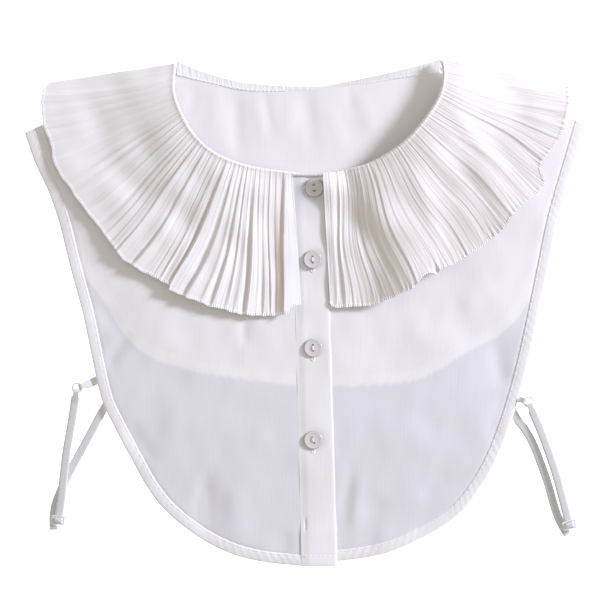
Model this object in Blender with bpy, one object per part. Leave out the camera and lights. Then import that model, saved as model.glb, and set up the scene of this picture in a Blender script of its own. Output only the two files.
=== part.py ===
"""A detachable false collar with a pleated ruffle, laid flat with its front up.

Run it with blender --background --python part.py, or from Blender's text editor.
Sizes are in millimetres, and become metres where a mesh is made. X runs across
from the row of buttons, Y runs up from the lowest hem towards the neck, and Z
runs up from the table. Right and left are the wearer's, so right is at -X.
"""

import math

import bmesh
import bpy
import numpy as np

MM = 0.001

# Cloth and the space between layers
CLOTH = 1.0
SEAM = 0.3
HEM_WIDTH = 7.0
HEM_EXTRA = 0.5
LAYER = CLOTH + HEM_EXTRA + 0.45

# The neckline's height above the hem at the centre front
CENTRE_NECK = 255.4
# Neckline, from the right neck point round the front to the left one: (across, up)
NECKLINE = [
    (-88.1, 326.0), (-89.2, 309.0), (-84.5, 294.3), (-76.2, 280.3), (-63.6, 269.0),
    (-45.8, 261.4), (-25.5, 257.5), (0.0, CENTRE_NECK), (25.0, 258.6), (40.2, 263.6),
    (56.7, 274.0), (68.1, 285.4), (78.3, 299.4), (83.3, 311.0), (84.0, 322.5), (82.5, 328.0),
]
# How high the neckline stands: (fraction of the way from one neck point to the other, height)
NECK_HEIGHTS = [
    (0.0, 3.0), (0.12, 7.5), (0.25, 8.5), (0.38, 4.5), (0.48, 0.8),
    (0.56, 1.2), (0.64, 5.0), (0.78, 10.0), (0.9, 9.0), (1.0, 3.5),
]
NECK_FALL = 58.0
NECK_EDGE_WIDTH = 2.2
NECK_EDGE_RISE = 3.3
NECK_EDGE_ROUND = 0.6
NECK_EDGE_GAP = 1.0

# Back neck: its fold, and the seam where the ruffle's heading meets the back
BACK_FOLD = [
    (-86.0, 327.4), (-68.0, 320.4), (-42.0, 314.0), (0.0, 311.6), (20.4, 314.5), (53.6, 321.5),
    (81.0, 328.7),
]
BACK_SEAM = [
    (-85.0, 318.0), (-70.0, 314.2), (-40.0, 308.4), (0.0, 308.4), (20.0, 311.3), (53.0, 316.3),
    (79.5, 319.8),
]
STAND_RISE = 2.2
STAND_GATHERS = 44
STAND_CRINKLE = 0.35
# The share of the gathers' height that is left at the seam
STAND_AT_SEAM = 0.4

# Hem and armhole of each front, from the centre front to the shoulder tip
FRONT_RIGHT_HEM = [
    (-6.4, 0.0), (-31.5, 2.6), (-52.3, 7.8), (-73.1, 18.2), (-93.3, 33.8), (-106.3, 49.4), (-118.0, 70.2),
    (-129.0, 91.0), (-136.8, 108.0), (-142.7, 132.6), (-149.2, 163.8), (-157.6, 195.0), (-164.6, 223.0),
    (-171.4, 243.0), (-180.4, 262.6), (-186.9, 281.5),
]
FRONT_LEFT_HEM = [
    (-5.6, 3.0), (14.6, 3.0), (45.8, 7.8), (71.2, 18.2), (88.7, 28.6), (100.4, 39.0), (111.4, 54.6),
    (120.2, 71.0), (128.0, 91.0), (134.0, 110.0), (140.4, 134.0), (147.2, 165.0), (153.3, 195.0),
    (159.0, 223.0), (164.4, 243.0), (170.6, 264.0), (177.1, 286.6),
]
# Hem of the back: its two armholes, under the fronts' hems above, and the curve between them
BACK_SIDE_RIGHT = [
    (-186.5, 281.8), (-179.4, 263.0), (-169.5, 243.5), (-161.4, 223.5), (-152.5, 196.5),
    (-144.0, 183.6), (-134.2, 170.3), (-124.8, 154.1), (-114.7, 142.4),
]
BACK_SIDE_LEFT = [
    (119.9, 148.9), (134.2, 162.5), (145.5, 184.0), (151.0, 205.0), (156.4, 224.0),
    (162.6, 243.5), (169.6, 264.3), (176.7, 286.8),
]
BACK_BOTTOM = [
    (-114.7, 142.4), (-104.5, 135.6), (-92.0, 131.0), (-63.6, 124.2), (0.0, 117.2), (59.2, 119.6),
    (82.4, 127.9), (94.8, 135.9), (106.9, 142.4), (119.9, 148.9),
]
# Below here the front comes down from the back's thickness to the table
FRONT_DESCENT = (92.0, 20.0)

# Placket: its seam and its fold, at the neck and at the hem, each as a distance across
PLACKET_SEAM = (-13.2, -7.0)
PLACKET_FOLD = (8.8, 16.3)
# The placket comes down from the front's thicker hem between these heights
PLACKET_DESCENT = (19.0, 31.0)
# The ruffle comes down from the placket between these distances beside it
PLACKET_SHOULDER = (1.0, 9.0)

# Outer edge of the ruffle's front stretches, from the centre front to the shoulder fold
RUFFLE_RIGHT_EDGE = [
    (-7.3, 169.5), (-11.8, 168.4), (-16.8, 164.1), (-28.7, 162.7), (-46.0, 163.8), (-60.6, 167.2),
    (-83.4, 175.4), (-92.5, 179.1), (-94.4, 183.2), (-114.4, 193.7), (-126.8, 203.3), (-132.7, 212.6),
    (-145.1, 228.3), (-154.2, 240.8), (-166.7, 259.0), (-169.1, 271.4), (-175.4, 289.6), (-175.4, 307.9),
    (-170.0, 313.7),
]
RUFFLE_LEFT_EDGE = [
    (11.2, 170.4), (14.0, 168.2), (28.1, 168.6), (43.6, 171.1), (59.2, 177.8), (66.9, 182.3), (73.2, 189.3),
    (86.6, 194.3), (96.5, 199.2), (108.9, 207.0), (125.7, 221.0), (129.8, 228.5), (148.1, 245.0),
    (150.5, 248.8), (147.6, 255.0), (149.8, 263.3), (160.5, 279.0), (164.6, 292.3), (166.7, 302.3),
    (166.7, 311.4),
]
# Where each front stretch starts beside the placket, as a distance across
RUFFLE_RIGHT_START = -11.4
RUFFLE_LEFT_START = 6.3
# The folds of each front stretch, from the centre front to the shoulder.
# neck, middle, edge: how far along, in percent, the fold is at each of them;
# height: how far it lifts the outer edge; drop: how far the cloth falls behind it;
# pleats: how many fine pleats lie between it and the next fold
RUFFLE_RIGHT_FOLDS = [
    (0.5, 0.0, 0.0, 1.6, 0.0, 2), (2.0, 4.5, 5.2, 2.6, 1.6, 1), (9.0, 7.0, 6.3, 1.6, 0.6, 1),
    (12.2, 9.5, 8.4, 1.7, 0.8, 1), (14.8, 11.6, 10.2, 1.6, 0.9, 1), (17.4, 13.4, 12.3, 1.4, 0.4, 1),
    (19.8, 15.8, 14.6, 3.6, 2.2, 1), (22.0, 18.6, 17.3, 2.6, 0.8, 1), (24.2, 20.9, 19.6, 3.2, 1.2, 1),
    (26.4, 23.6, 23.4, 4.6, 1.6, 1), (28.6, 26.0, 26.0, 3.8, 0.8, 1), (31.0, 29.0, 30.6, 6.2, 2.6, 1),
    (33.2, 31.8, 33.2, 3.4, 0.2, 1), (35.6, 34.4, 35.8, 6.4, 4.2, 1), (39.5, 38.8, 38.6, 3.4, 0.8, 2),
    (44.2, 42.8, 42.3, 2.2, 0.4, 1), (48.4, 46.0, 46.3, 5.4, 2.3, 1), (51.4, 49.4, 49.5, 2.8, 0.4, 1),
    (54.0, 52.2, 51.8, 5.0, 2.8, 1), (56.3, 54.7, 54.2, 2.4, 1.0, 1), (58.6, 57.0, 56.6, 3.0, 0.8, 2),
    (62.8, 60.7, 61.0, 1.5, 0.4, 1), (65.7, 63.8, 64.2, 3.0, 1.4, 1), (68.4, 66.5, 66.8, 1.8, 0.4, 1),
    (71.0, 69.2, 69.4, 2.8, 1.6, 2), (75.0, 74.6, 76.4, 1.9, 0.9, 2), (80.6, 81.1, 83.2, 1.5, 0.8, 2),
    (86.4, 86.9, 89.5, 1.2, 0.7, 2), (92.4, 93.4, 96.0, 0.8, 0.5, 1), (100.0, 100.0, 100.0, -2.6, 0.0, 0),
]
RUFFLE_LEFT_FOLDS = [
    (0.0, 0.0, 0.0, 0.8, 0.0, 1), (3.6, 3.0, 2.5, 1.4, 0.7, 1), (7.8, 6.0, 4.8, 2.4, 1.4, 1),
    (10.2, 8.2, 7.0, 2.0, 0.6, 1), (12.4, 10.6, 9.4, 1.6, 0.4, 1), (15.4, 14.0, 13.2, 3.4, 0.5, 2),
    (19.0, 18.4, 18.8, 7.4, 0.5, 1), (21.8, 21.2, 21.6, 9.4, 0.8, 1), (24.2, 23.8, 23.6, 10.8, 0.7, 1),
    (26.8, 26.4, 25.8, 12.0, 1.4, 1), (30.0, 29.9, 30.2, 10.0, 0.8, 1), (33.2, 33.0, 33.2, 9.6, 0.9, 1),
    (36.0, 35.6, 35.8, 8.8, 0.6, 1), (38.4, 37.9, 38.1, 8.2, 0.8, 1), (40.8, 40.0, 40.0, 7.6, 0.8, 1),
    (43.4, 42.2, 42.0, 8.2, 1.6, 2), (47.6, 47.4, 47.2, 7.6, 1.3, 2), (52.2, 51.8, 51.0, 7.4, 0.6, 1),
    (56.4, 54.6, 54.6, 8.8, 0.6, 1), (60.8, 59.6, 58.4, 10.0, 1.8, 1), (63.4, 62.8, 61.2, 8.6, 0.6, 1),
    (66.8, 66.4, 65.2, 7.8, 0.9, 2), (71.4, 70.9, 70.6, 6.8, 0.6, 1), (75.6, 75.0, 74.6, 6.0, 0.5, 1),
    (79.4, 78.9, 78.6, 6.6, 2.2, 2), (83.2, 84.4, 85.4, 5.6, 2.4, 2), (88.0, 91.0, 93.0, 4.4, 2.0, 1),
    (93.6, 96.4, 97.4, 1.2, 0.4, 1), (100.0, 100.0, 100.0, -2.6, 0.0, 0),
]
RUFFLE_CLEAR = 0.8
FINE_DROP = 0.7
# How soon the folds rise on their way out; below 1 most of the rise is near the neck
RUFFLE_RISE = 0.6
# Height of the pleats where the neck edge gathers them
NECK_PINCH = 0.5
# Extra thickness where the cloth is steep
STEEP_WALL = 0.3
STEEP_LIMIT = 1.2
# Share of a pleat's width that its steep side takes
STEEP_SHARE = 0.25
RUFFLE_ROWS = (0.0, 0.06, 0.14, 0.26, 0.42, 0.6, 0.8, 1.0)

# Back stretch of the ruffle, flat on the table under the back
RUFFLE_BACK_EDGE = [
    (-167.0, 309.0), (-162.0, 284.0), (-144.0, 258.0), (-115.0, 238.0), (-75.0, 227.5), (-30.0, 223.0),
    (20.0, 223.0), (60.0, 227.0), (105.0, 239.0), (135.0, 257.0), (152.0, 281.0), (158.5, 307.0),
]
RUFFLE_BACK_PLEATS = 40
RUFFLE_BACK_PLEAT = 1.3
# The share of its pleats' height that it keeps at the neck, and how far it starts from the fold
RUFFLE_BACK_NECK = 0.55
RUFFLE_BACK_START = 1.0
# Room that the back keeps over the pleats
RUFFLE_BACK_CLEAR = 0.5
BACK_DESCENT = (88.0, 150.0)

# Buttons, from the neck down: height above the hem
BUTTON_HEIGHTS = (245.7, 199.2, 141.7, 81.9)
BUTTON_ACROSS = (1.0, 0.0, 0.3, 0.3)
BUTTON_RADIUS = 6.1
BUTTON_SIDES = 26
BUTTON_THICKNESS = 2.4
BUTTON_DISH = 0.9
BUTTON_RIM = 1.1
BUTTON_HOLE_RADIUS = 0.9
BUTTON_HOLE_SPREAD = 3.7

# Elastic straps, rings and sliders
ELASTIC_WIDTH = 5.4
ELASTIC = 1.0
RING_RADIUS = 3.1
RING_WIRE = 0.65
# The elastic narrows where it turns round the ring's wire, and lies over and under it
RING_PINCH = 2.0
RING_TURN = 1.8
RING_HEIGHT = 3.25
SLIDER_BAR = 1.0
SLIDER_SLOT = 1.4
SLIDER_THICKNESS = 1.2
SLIDER_SIDE = 1.4
SLIDER_HEIGHT = 3.9
# Where each strap lies. tab: from the ring's wire to its end under the front, which covers it
# from hem_at on; loop: from the ring's wire to the slider; lead: from the turn below the slider
# to the back's corner
STRAPS = {
    "right": {
        "ring": (-152.8, 115.8),
        "tab": [(-149.9, 116.8), (-143.6, 119.2), (-139.9, 121.0), (-131.5, 125.6)],
        "hem_at": 10.4,
        "loop": [
            (-153.5, 112.8), (-156.5, 93.0), (-159.4, 76.4), (-161.5, 59.9), (-163.2, 43.3),
            (-165.2, 30.0),
        ],
        "lead": [
            (-168.2, 24.0), (-168.2, 33.0), (-166.0, 43.3), (-157.6, 61.5), (-150.4, 74.8), (-143.7, 87.2),
            (-134.6, 103.8), (-112.4, 138.9),
        ],
    },
    "left": {
        "ring": (140.4, 106.8),
        "tab": [(137.4, 107.5), (134.6, 108.5), (130.9, 110.3)],
        "hem_at": 3.3,
        "loop": [(141.4, 103.8), (147.8, 89.0), (152.8, 75.7), (157.8, 60.8), (161.9, 45.9), (166.9, 26.8)],
        "lead": [
            (165.6, 20.6), (160.9, 29.0), (157.4, 38.0), (152.0, 56.6), (143.7, 78.6), (137.9, 89.0),
            (131.2, 98.6), (108.1, 141.7),
        ],
    },
}


# Curves and surfaces


def along(points, fractions):
    """Points at fractions of a polyline's length."""
    steps = np.linalg.norm(np.diff(points, axis=0), axis=1)
    length = np.concatenate([[0.0], np.cumsum(steps)])
    places = np.asarray(fractions) * length[-1]
    return np.stack([np.interp(places, length, column) for column in points.T], axis=-1)


def curve(knots, count=200):
    """Evenly spaced points of a smooth curve through the knots."""
    knots = np.array(knots, float)
    ends = np.vstack([2 * knots[0] - knots[1], knots, 2 * knots[-1] - knots[-2]])
    t = np.linspace(0.0, 1.0, 20, endpoint=False)[:, None]
    spans = []
    for a, b, c, d in zip(ends, ends[1:], ends[2:], ends[3:]):
        spans.append(b + 0.5 * t * (c - a + t * (2 * a - 5 * b + 4 * c - d + t * (3 * (b - c) + d - a))))
    return along(np.vstack(spans + [knots[-1:]]), np.linspace(0.0, 1.0, count))


def tangents(points):
    """Unit directions along a row of points."""
    step = np.gradient(points, axis=0)
    return step / np.linalg.norm(step, axis=1, keepdims=True)


def moved_left(points, distance):
    """The row of points moved sideways, to the left of its direction."""
    step = tangents(points)
    return points + distance * np.stack([-step[:, 1], step[:, 0]], axis=1)


def distance_and_place(points, line):
    """Distance from each point to a line, and how far along it the nearest place is."""
    apart = np.linalg.norm(points[..., None, :] - line, axis=-1)
    return apart.min(axis=-1), apart.argmin(axis=-1) / (len(line) - 1)


def fall(value, start, end):
    """1 up to start, easing down to 0 at end."""
    t = np.clip((value - start) / (end - start), 0.0, 1.0)
    return 1.0 - t * t * (3.0 - 2.0 * t)


def patch(near, far, first, last, rows):
    """Plan points between two edges, near and far, that share the ends of two sides."""
    u = np.linspace(0.0, 1.0, len(near))[None, :, None]
    v = np.array(rows)[:, None, None]
    across = (1 - v) * near[None] + v * far[None]
    down = (1 - u) * along(first, rows)[:, None] + u * along(last, rows)[:, None]
    corners = (1 - v) * ((1 - u) * near[0] + u * near[-1]) + v * ((1 - u) * far[0] + u * far[-1])
    return across + down - corners


# The lie of the layers: each function gives the height of a layer's underside at plan points

NECK = curve(NECKLINE, 401)
BACK_NECK = curve(BACK_FOLD, 161)


def back_level(plan):
    """The back lies on the ruffle's back stretch near the neck and on the table lower down."""
    on_ruffle = CLOTH + RUFFLE_BACK_PLEAT + RUFFLE_BACK_CLEAR
    return on_ruffle * fall(distance_and_place(plan, BACK_NECK)[0], *BACK_DESCENT)


def neck_roll(plan):
    """The front stands up towards the neckline."""
    apart, place = distance_and_place(plan, NECK)
    places, heights = np.array(NECK_HEIGHTS).T
    return np.interp(place, places, heights) * fall(apart, 0.0, NECK_FALL)


def front_level(plan):
    """The front lies on the back, and on the table below the back's hem."""
    return back_level(plan) + LAYER * fall(plan[..., 1], *FRONT_DESCENT) + neck_roll(plan)


def placket_side(plan, sides):
    """A placket edge's distance across at each point's height above the hem."""
    return np.interp(plan[..., 1], (0.0, CENTRE_NECK), (sides[1], sides[0]))


def over_placket(plan):
    """The ruffle is lifted where it lies on the placket."""
    seam, fold = placket_side(plan, PLACKET_SEAM), placket_side(plan, PLACKET_FOLD)
    beyond_seam = fall(seam - plan[..., 0], *PLACKET_SHOULDER)
    beyond_fold = fall(plan[..., 0] - fold, *PLACKET_SHOULDER)
    return (CLOTH + SEAM) * beyond_seam * beyond_fold


# Meshes


def material(name, colour, roughness, metallic=0.0):
    """A Principled BSDF of one colour."""
    made = bpy.data.materials.get(name)
    if made is None:
        made = bpy.data.materials.new(name)
        made.use_nodes = True
        shader = made.node_tree.nodes["Principled BSDF"]
        shader.inputs["Base Color"].default_value = (*colour, 1.0)
        shader.inputs["Roughness"].default_value = roughness
        shader.inputs["Metallic"].default_value = metallic
    return made


def cloth_material():
    return material("cloth", (0.83, 0.83, 0.87), 0.85)


def elastic_material():
    return material("elastic", (0.78, 0.78, 0.78), 0.8)


def button_material():
    return material("button", (0.86, 0.86, 0.86), 0.15)


def fitting_material():
    return material("fitting", (0.9, 0.9, 0.9), 0.35)


def add_object(name, bm, surface, smooth=True):
    """Turns a bmesh in millimetres into an object with one material."""
    bmesh.ops.scale(bm, vec=(MM, MM, MM), verts=bm.verts)
    bmesh.ops.recalc_face_normals(bm, faces=bm.faces)
    mesh = bpy.data.meshes.new(name)
    bm.to_mesh(mesh)
    bm.free()
    mesh.materials.append(surface)
    if smooth:
        mesh.shade_smooth()
        mesh.set_sharp_from_angle(angle=math.radians(40))
    made = bpy.data.objects.new(name, mesh)
    bpy.context.scene.collection.objects.link(made)
    return made


def wall(name, plan, under, over, surface):
    """A closed cloth wall between two heights over one grid of plan points."""
    bm = bmesh.new()
    rows, columns = plan.shape[:2]
    sheets = []
    for height in (under, over):
        points = np.dstack([plan, height])
        sheets.append([[bm.verts.new(point) for point in row] for row in points])
    for sheet in sheets:
        for r in range(rows - 1):
            for c in range(columns - 1):
                bm.faces.new((sheet[r][c], sheet[r][c + 1], sheet[r + 1][c + 1], sheet[r + 1][c]))
    rim = [(0, c) for c in range(columns)] + [(r, columns - 1) for r in range(1, rows)]
    rim += [(rows - 1, c) for c in range(columns - 2, -1, -1)] + [(r, 0) for r in range(rows - 2, 0, -1)]
    low, high = sheets
    for (r, c), (s, d) in zip(rim, rim[1:] + rim[:1]):
        bm.faces.new((low[r][c], low[s][d], high[s][d], high[r][c]))
    return add_object(name, bm, surface)


def swept(name, sections, surface, smooth=True):
    """A closed bar through a row of cross-sections with the same number of points."""
    bm = bmesh.new()
    rings = [[bm.verts.new(point) for point in section] for section in sections]
    for one, two in zip(rings, rings[1:]):
        for k in range(len(one)):
            after = (k + 1) % len(one)
            bm.faces.new((one[k], one[after], two[after], two[k]))
    bm.faces.new(rings[0])
    bm.faces.new(rings[-1])
    return add_object(name, bm, surface, smooth)


# Fronts, back and placket


def neck_stretch(start, side, count):
    """The front's neck edge from a distance across to the neck point on one side."""
    part = NECK[NECK[:, 0] * side > start * side]
    outward = moved_left(part, -(NECK_EDGE_WIDTH + SEAM))
    return along(outward if side > 0 else outward[::-1], np.linspace(0.0, 1.0, count))


def panel(name, near, far, level, rows, inward):
    """A panel from its neck edge to its hem, which is folded along the far edge."""
    fold = moved_left(far, inward * HEM_WIDTH)
    for end in (0, -1):
        gap = near[end] - far[end]
        fold[end] = far[end] + gap * HEM_WIDTH / np.linalg.norm(gap)
    grid = patch(near, fold, np.array([near[0], fold[0]]), np.array([near[-1], fold[-1]]), rows)
    lip = fold + (far - fold) * SEAM / HEM_WIDTH
    plan = np.concatenate([grid, lip[None], far[None]])
    under = level(plan)
    over = under + CLOTH
    over[-2:] += HEM_EXTRA
    return wall(name, plan, under, over, cloth_material())


FRONT_ROWS = (0.0, 0.04, 0.08, 0.13, 0.2, 0.3, 0.45, 0.6, 0.7, 0.8, 0.9, 1.0)
BACK_ROWS = (0.0, 0.2, 0.4, 0.55, 0.7, 0.85, 1.0)
FRONT_COLUMNS = 30


def build_fronts():
    """The two halves of the front, their centre edges meeting under the placket."""
    meeting = PLACKET_SEAM[0] + CLOTH
    for name, side, hem in (("front_right", -1, FRONT_RIGHT_HEM), ("front_left", 1, FRONT_LEFT_HEM)):
        neck = neck_stretch(meeting + side * SEAM, side, FRONT_COLUMNS)
        panel(name, neck, curve(hem, FRONT_COLUMNS), front_level, FRONT_ROWS, side)


def build_back():
    """The back, shorter than the front, with its neck edge at the heading's seam."""
    bottom = curve(BACK_BOTTOM, 17)
    far = np.concatenate([curve(BACK_SIDE_RIGHT, 14)[:-1], bottom, curve(BACK_SIDE_LEFT, 14)[1:]])
    near = moved_left(curve(BACK_SEAM, len(far)), -SEAM)
    panel("back", near, far, back_level, BACK_ROWS, 1)


def build_placket():
    """The strip over the centre front, from the neck edge to the hem."""
    top = CENTRE_NECK - NECK_EDGE_WIDTH - SEAM
    up = np.concatenate([np.linspace(0.0, 200.0, 9), np.linspace(200.0, top, 7)[1:]])
    across = np.linspace(0.0, 1.0, 4)
    plan = np.zeros((len(up), len(across), 2))
    plan[..., 1] = up[:, None]
    left = placket_side(plan, PLACKET_SEAM)
    plan[..., 0] = left + (placket_side(plan, PLACKET_FOLD) - left) * across
    under = front_level(plan) + CLOTH + SEAM
    under += HEM_EXTRA * fall(plan[..., 1], *PLACKET_DESCENT)
    wall("placket", plan, under, under + CLOTH, cloth_material())


# Ruffle


def pleat_columns(folds):
    """Columns of the ruffle: their neck, middle and edge places, lift at the edge and pleat depth."""
    columns = []
    for this, following in zip(folds, folds[1:]):
        here, there = np.array(this[:3]) / 100.0, np.array(following[:3]) / 100.0
        height, drop, pleats = this[3:]
        low = height - drop
        for k in range(pleats):
            start, end = k / pleats, (k + 1) / pleats
            lift = height if k == 0 else low + (following[3] - low) * start
            fine = drop if k == 0 else FINE_DROP
            columns.append((*(here + (there - here) * start), lift, 0.0))
            foot = start + (end - start) * STEEP_SHARE
            columns.append((*(here + (there - here) * foot), lift - fine, 1.0))
    columns.append((*(np.array(folds[-1][:3]) / 100.0), folds[-1][3], 0.0))
    return np.array(columns)


def ruffle_plan(columns, neck, edge, rows):
    """Plan points of the ruffle, each column running from its neck place to its edge place."""
    plan = np.empty((len(rows), len(columns), 2))
    for r, v in enumerate(rows):
        neck_place, middle, edge_place = columns[:, 0], columns[:, 1], columns[:, 2]
        place = (1 - v) * (1 - 2 * v) * neck_place + 4 * v * (1 - v) * middle + v * (2 * v - 1) * edge_place
        plan[r] = (1 - v) * along(neck, place) + v * along(edge, place)
    return plan


def build_front_ruffle(name, folds, neck, edge):
    """One front stretch: fine pleats on large uneven folds, lifting towards the outer edge."""
    columns = pleat_columns(folds)
    plan = ruffle_plan(columns, neck, curve(edge, 400), RUFFLE_ROWS)
    v = np.array(RUFFLE_ROWS)[:, None]
    lift = columns[None, :, 3] * v ** RUFFLE_RISE
    pinch = NECK_PINCH * (1.0 - columns[None, :, 4]) * (1.0 - v)
    under = front_level(plan) + CLOTH + over_placket(plan) + RUFFLE_CLEAR + lift + pinch
    steep = np.abs(np.gradient(under, axis=1)).clip(0.0, STEEP_LIMIT)
    wall(name, plan, under, under + CLOTH + STEEP_WALL * steep, cloth_material())


def build_front_ruffles():
    """The folds' steep sides face -X on both stretches, so one stretch runs the other way."""
    right_neck = neck_stretch(RUFFLE_RIGHT_START, -1, 200)
    left_neck = neck_stretch(RUFFLE_LEFT_START, 1, 200)
    build_front_ruffle("ruffle_right", RUFFLE_RIGHT_FOLDS, right_neck, RUFFLE_RIGHT_EDGE)
    turned = [(*row[:5], before[5]) for row, before in zip(RUFFLE_LEFT_FOLDS[1:], RUFFLE_LEFT_FOLDS)][::-1]
    turned.append((*RUFFLE_LEFT_FOLDS[0][:5], 0))
    turned = [(100.0 - n, 100.0 - m, 100.0 - e, h, d, p) for n, m, e, h, d, p in turned]
    build_front_ruffle("ruffle_left", turned, left_neck[::-1], RUFFLE_LEFT_EDGE[::-1])


def build_back_ruffle():
    """The back stretch, pleated above and flat below where it rests."""
    places = []
    for k in range(RUFFLE_BACK_PLEATS):
        places += [(k, 0.0), (k + STEEP_SHARE, 1.0)]
    places = np.array(places + [(RUFFLE_BACK_PLEATS, 0.0)])
    share = places[:, 0] / RUFFLE_BACK_PLEATS
    neck = along(moved_left(BACK_NECK, -RUFFLE_BACK_START), share)
    edge = along(curve(RUFFLE_BACK_EDGE, 300), share)
    v = np.array((0.0, 0.5, 1.0))[:, None]
    plan = (1 - v[..., None]) * neck[None] + v[..., None] * edge[None]
    kept = RUFFLE_BACK_NECK + (1.0 - RUFFLE_BACK_NECK) * v
    pleat = RUFFLE_BACK_PLEAT * kept * (1.0 - places[None, :, 1])
    wall("ruffle_back", plan, np.zeros(plan.shape[:2]), CLOTH + pleat, cloth_material())


def build_neck_stand():
    """The ruffle's gathered heading, which stands inside the back neck."""
    count = 2 * STAND_GATHERS + 1
    seam = curve(BACK_SEAM, count)
    fold = along(BACK_NECK, np.linspace(0.0, 1.0, count))
    v = np.array((0.0, 0.5, 1.0))[:, None]
    plan = (1 - v[..., None]) * seam[None] + v[..., None] * fold[None]
    kept = STAND_AT_SEAM + (1.0 - STAND_AT_SEAM) * v
    crinkle = STAND_CRINKLE * (np.arange(count) % 2)[None, :] * kept
    under = back_level(plan) + STAND_RISE * v + crinkle
    wall("back_neck_stand", plan, under, under + CLOTH, cloth_material())


def build_neck_edges():
    """The rolled edge that closes the front's neck, parted at the placket's fold."""
    split = PLACKET_FOLD[0]
    for name, chosen in (
        ("neck_edge_right", NECK[NECK[:, 0] < split]),
        ("neck_edge_left", NECK[NECK[:, 0] > split + NECK_EDGE_GAP]),
    ):
        inner = along(chosen, np.linspace(0.0, 1.0, 40))
        outer = moved_left(inner, -NECK_EDGE_WIDTH)
        middle = (inner + outer) / 2.0
        low = front_level(outer)
        sections = []
        for a, m, b, z in zip(inner, middle, outer, low):
            shoulder = z + NECK_EDGE_RISE - NECK_EDGE_ROUND
            sections.append([(*a, z), (*b, z), (*b, shoulder), (*m, z + NECK_EDGE_RISE), (*a, shoulder)])
        swept(name, sections, cloth_material())


# Buttons


def build_buttons():
    """Two-hole buttons with a raised rim, lying on the placket over their buttonholes."""
    profile = [
        (BUTTON_RADIUS - 0.4, 0.0), (BUTTON_RADIUS, 0.5), (BUTTON_RADIUS, BUTTON_THICKNESS - 0.6),
        (BUTTON_RADIUS - 0.5, BUTTON_THICKNESS), (BUTTON_RADIUS - BUTTON_RIM, BUTTON_THICKNESS),
        (BUTTON_RADIUS - BUTTON_RIM - 0.9, BUTTON_THICKNESS - BUTTON_DISH),
    ]
    for number, (up, across) in enumerate(zip(BUTTON_HEIGHTS, BUTTON_ACROSS), start=1):
        sides = (-1, 0, 1)
        spots = np.array([(across + BUTTON_RADIUS * x, up + BUTTON_RADIUS * y) for x in sides for y in sides])
        seat = front_level(spots).max() + 2 * CLOTH + 2 * SEAM
        bm = bmesh.new()
        rings = []
        for radius, z in profile:
            angles = [2 * math.pi * k / BUTTON_SIDES for k in range(BUTTON_SIDES)]
            rings.append([bm.verts.new((radius * math.cos(a), radius * math.sin(a), z)) for a in angles])
        for one, two in zip(rings, rings[1:]):
            for k in range(BUTTON_SIDES):
                after = (k + 1) % BUTTON_SIDES
                bm.faces.new((one[k], one[after], two[after], two[k]))
        bm.faces.new(rings[0])
        bm.faces.new(rings[-1])
        name = f"button_{number}"
        disc = add_object(name, bm, button_material())
        disc.location = (across * MM, up * MM, seat * MM)
        for side in (-1, 1):
            cutter = build_hole_cutter(f"{name}_hole_{side}", side)
            cutter.parent = disc
            cut = disc.modifiers.new("hole", "BOOLEAN")
            cut.operation = "DIFFERENCE"
            cut.object = cutter


def build_hole_cutter(name, side):
    """A rod that drills one thread hole, hidden in the model."""
    bm = bmesh.new()
    bmesh.ops.create_cone(
        bm, cap_ends=True, segments=8, radius1=BUTTON_HOLE_RADIUS, radius2=BUTTON_HOLE_RADIUS,
        depth=3 * BUTTON_THICKNESS,
    )
    bmesh.ops.translate(bm, vec=(0.0, side * BUTTON_HOLE_SPREAD / 2, BUTTON_THICKNESS / 2), verts=bm.verts)
    cutter = add_object(name, bm, button_material(), smooth=False)
    cutter.hide_render = True
    cutter.display_type = "WIRE"
    return cutter


# Straps


def spot_on(route, place):
    """A point at a distance along a route, straight on past its ends, and its sideways direction."""
    steps = np.linalg.norm(np.diff(route, axis=0), axis=1)
    length = np.concatenate([[0.0], np.cumsum(steps)])
    inside = min(max(place, 0.0), length[-1])
    ahead = tangents(route)
    point = np.array([np.interp(inside, length, route[:, k]) for k in range(2)])
    step = np.array([np.interp(inside, length, ahead[:, k]) for k in range(2)])
    step /= np.linalg.norm(step)
    return point + step * (place - inside), np.array([-step[1], step[0]])


def ribbon(name, route, profile, pinched=False):
    """A flat strip along a route; the profile gives its middle line as (distance along, height)."""
    profile = np.array(profile, float)
    edge = np.diff(profile, axis=0)
    edge /= np.linalg.norm(edge, axis=1, keepdims=True)
    before, after = np.vstack([edge[:1], edge]), np.vstack([edge, edge[-1:]])
    normal = np.stack([-(before + after)[:, 1], (before + after)[:, 0]], axis=1)
    normal /= 1.0 + (before * after).sum(axis=1, keepdims=True)
    sections = []
    for (s, z), (ns, nz) in zip(profile, normal * ELASTIC / 2):
        half = ELASTIC_WIDTH / 2
        if pinched:
            half -= (ELASTIC_WIDTH - RING_PINCH) / 2 * float(fall(abs(s), RING_TURN, 3 * RING_TURN))
        corners = []
        for face, side in ((-1, -1), (-1, 1), (1, 1), (1, -1)):
            point, sideways = spot_on(route, s + face * ns)
            corners.append((*(point + side * half * sideways), z + face * nz))
        sections.append(corners)
    return swept(name, sections, elastic_material(), smooth=False)


def turn(centre, radius, start, end, steps=4):
    """Points of a half turn in a strap's profile, in degrees from straight ahead."""
    angles = [math.radians(start + (end - start) * k / steps) for k in range(steps + 1)]
    return [(centre[0] + radius * math.cos(a), centre[1] + radius * math.sin(a)) for a in angles]


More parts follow.
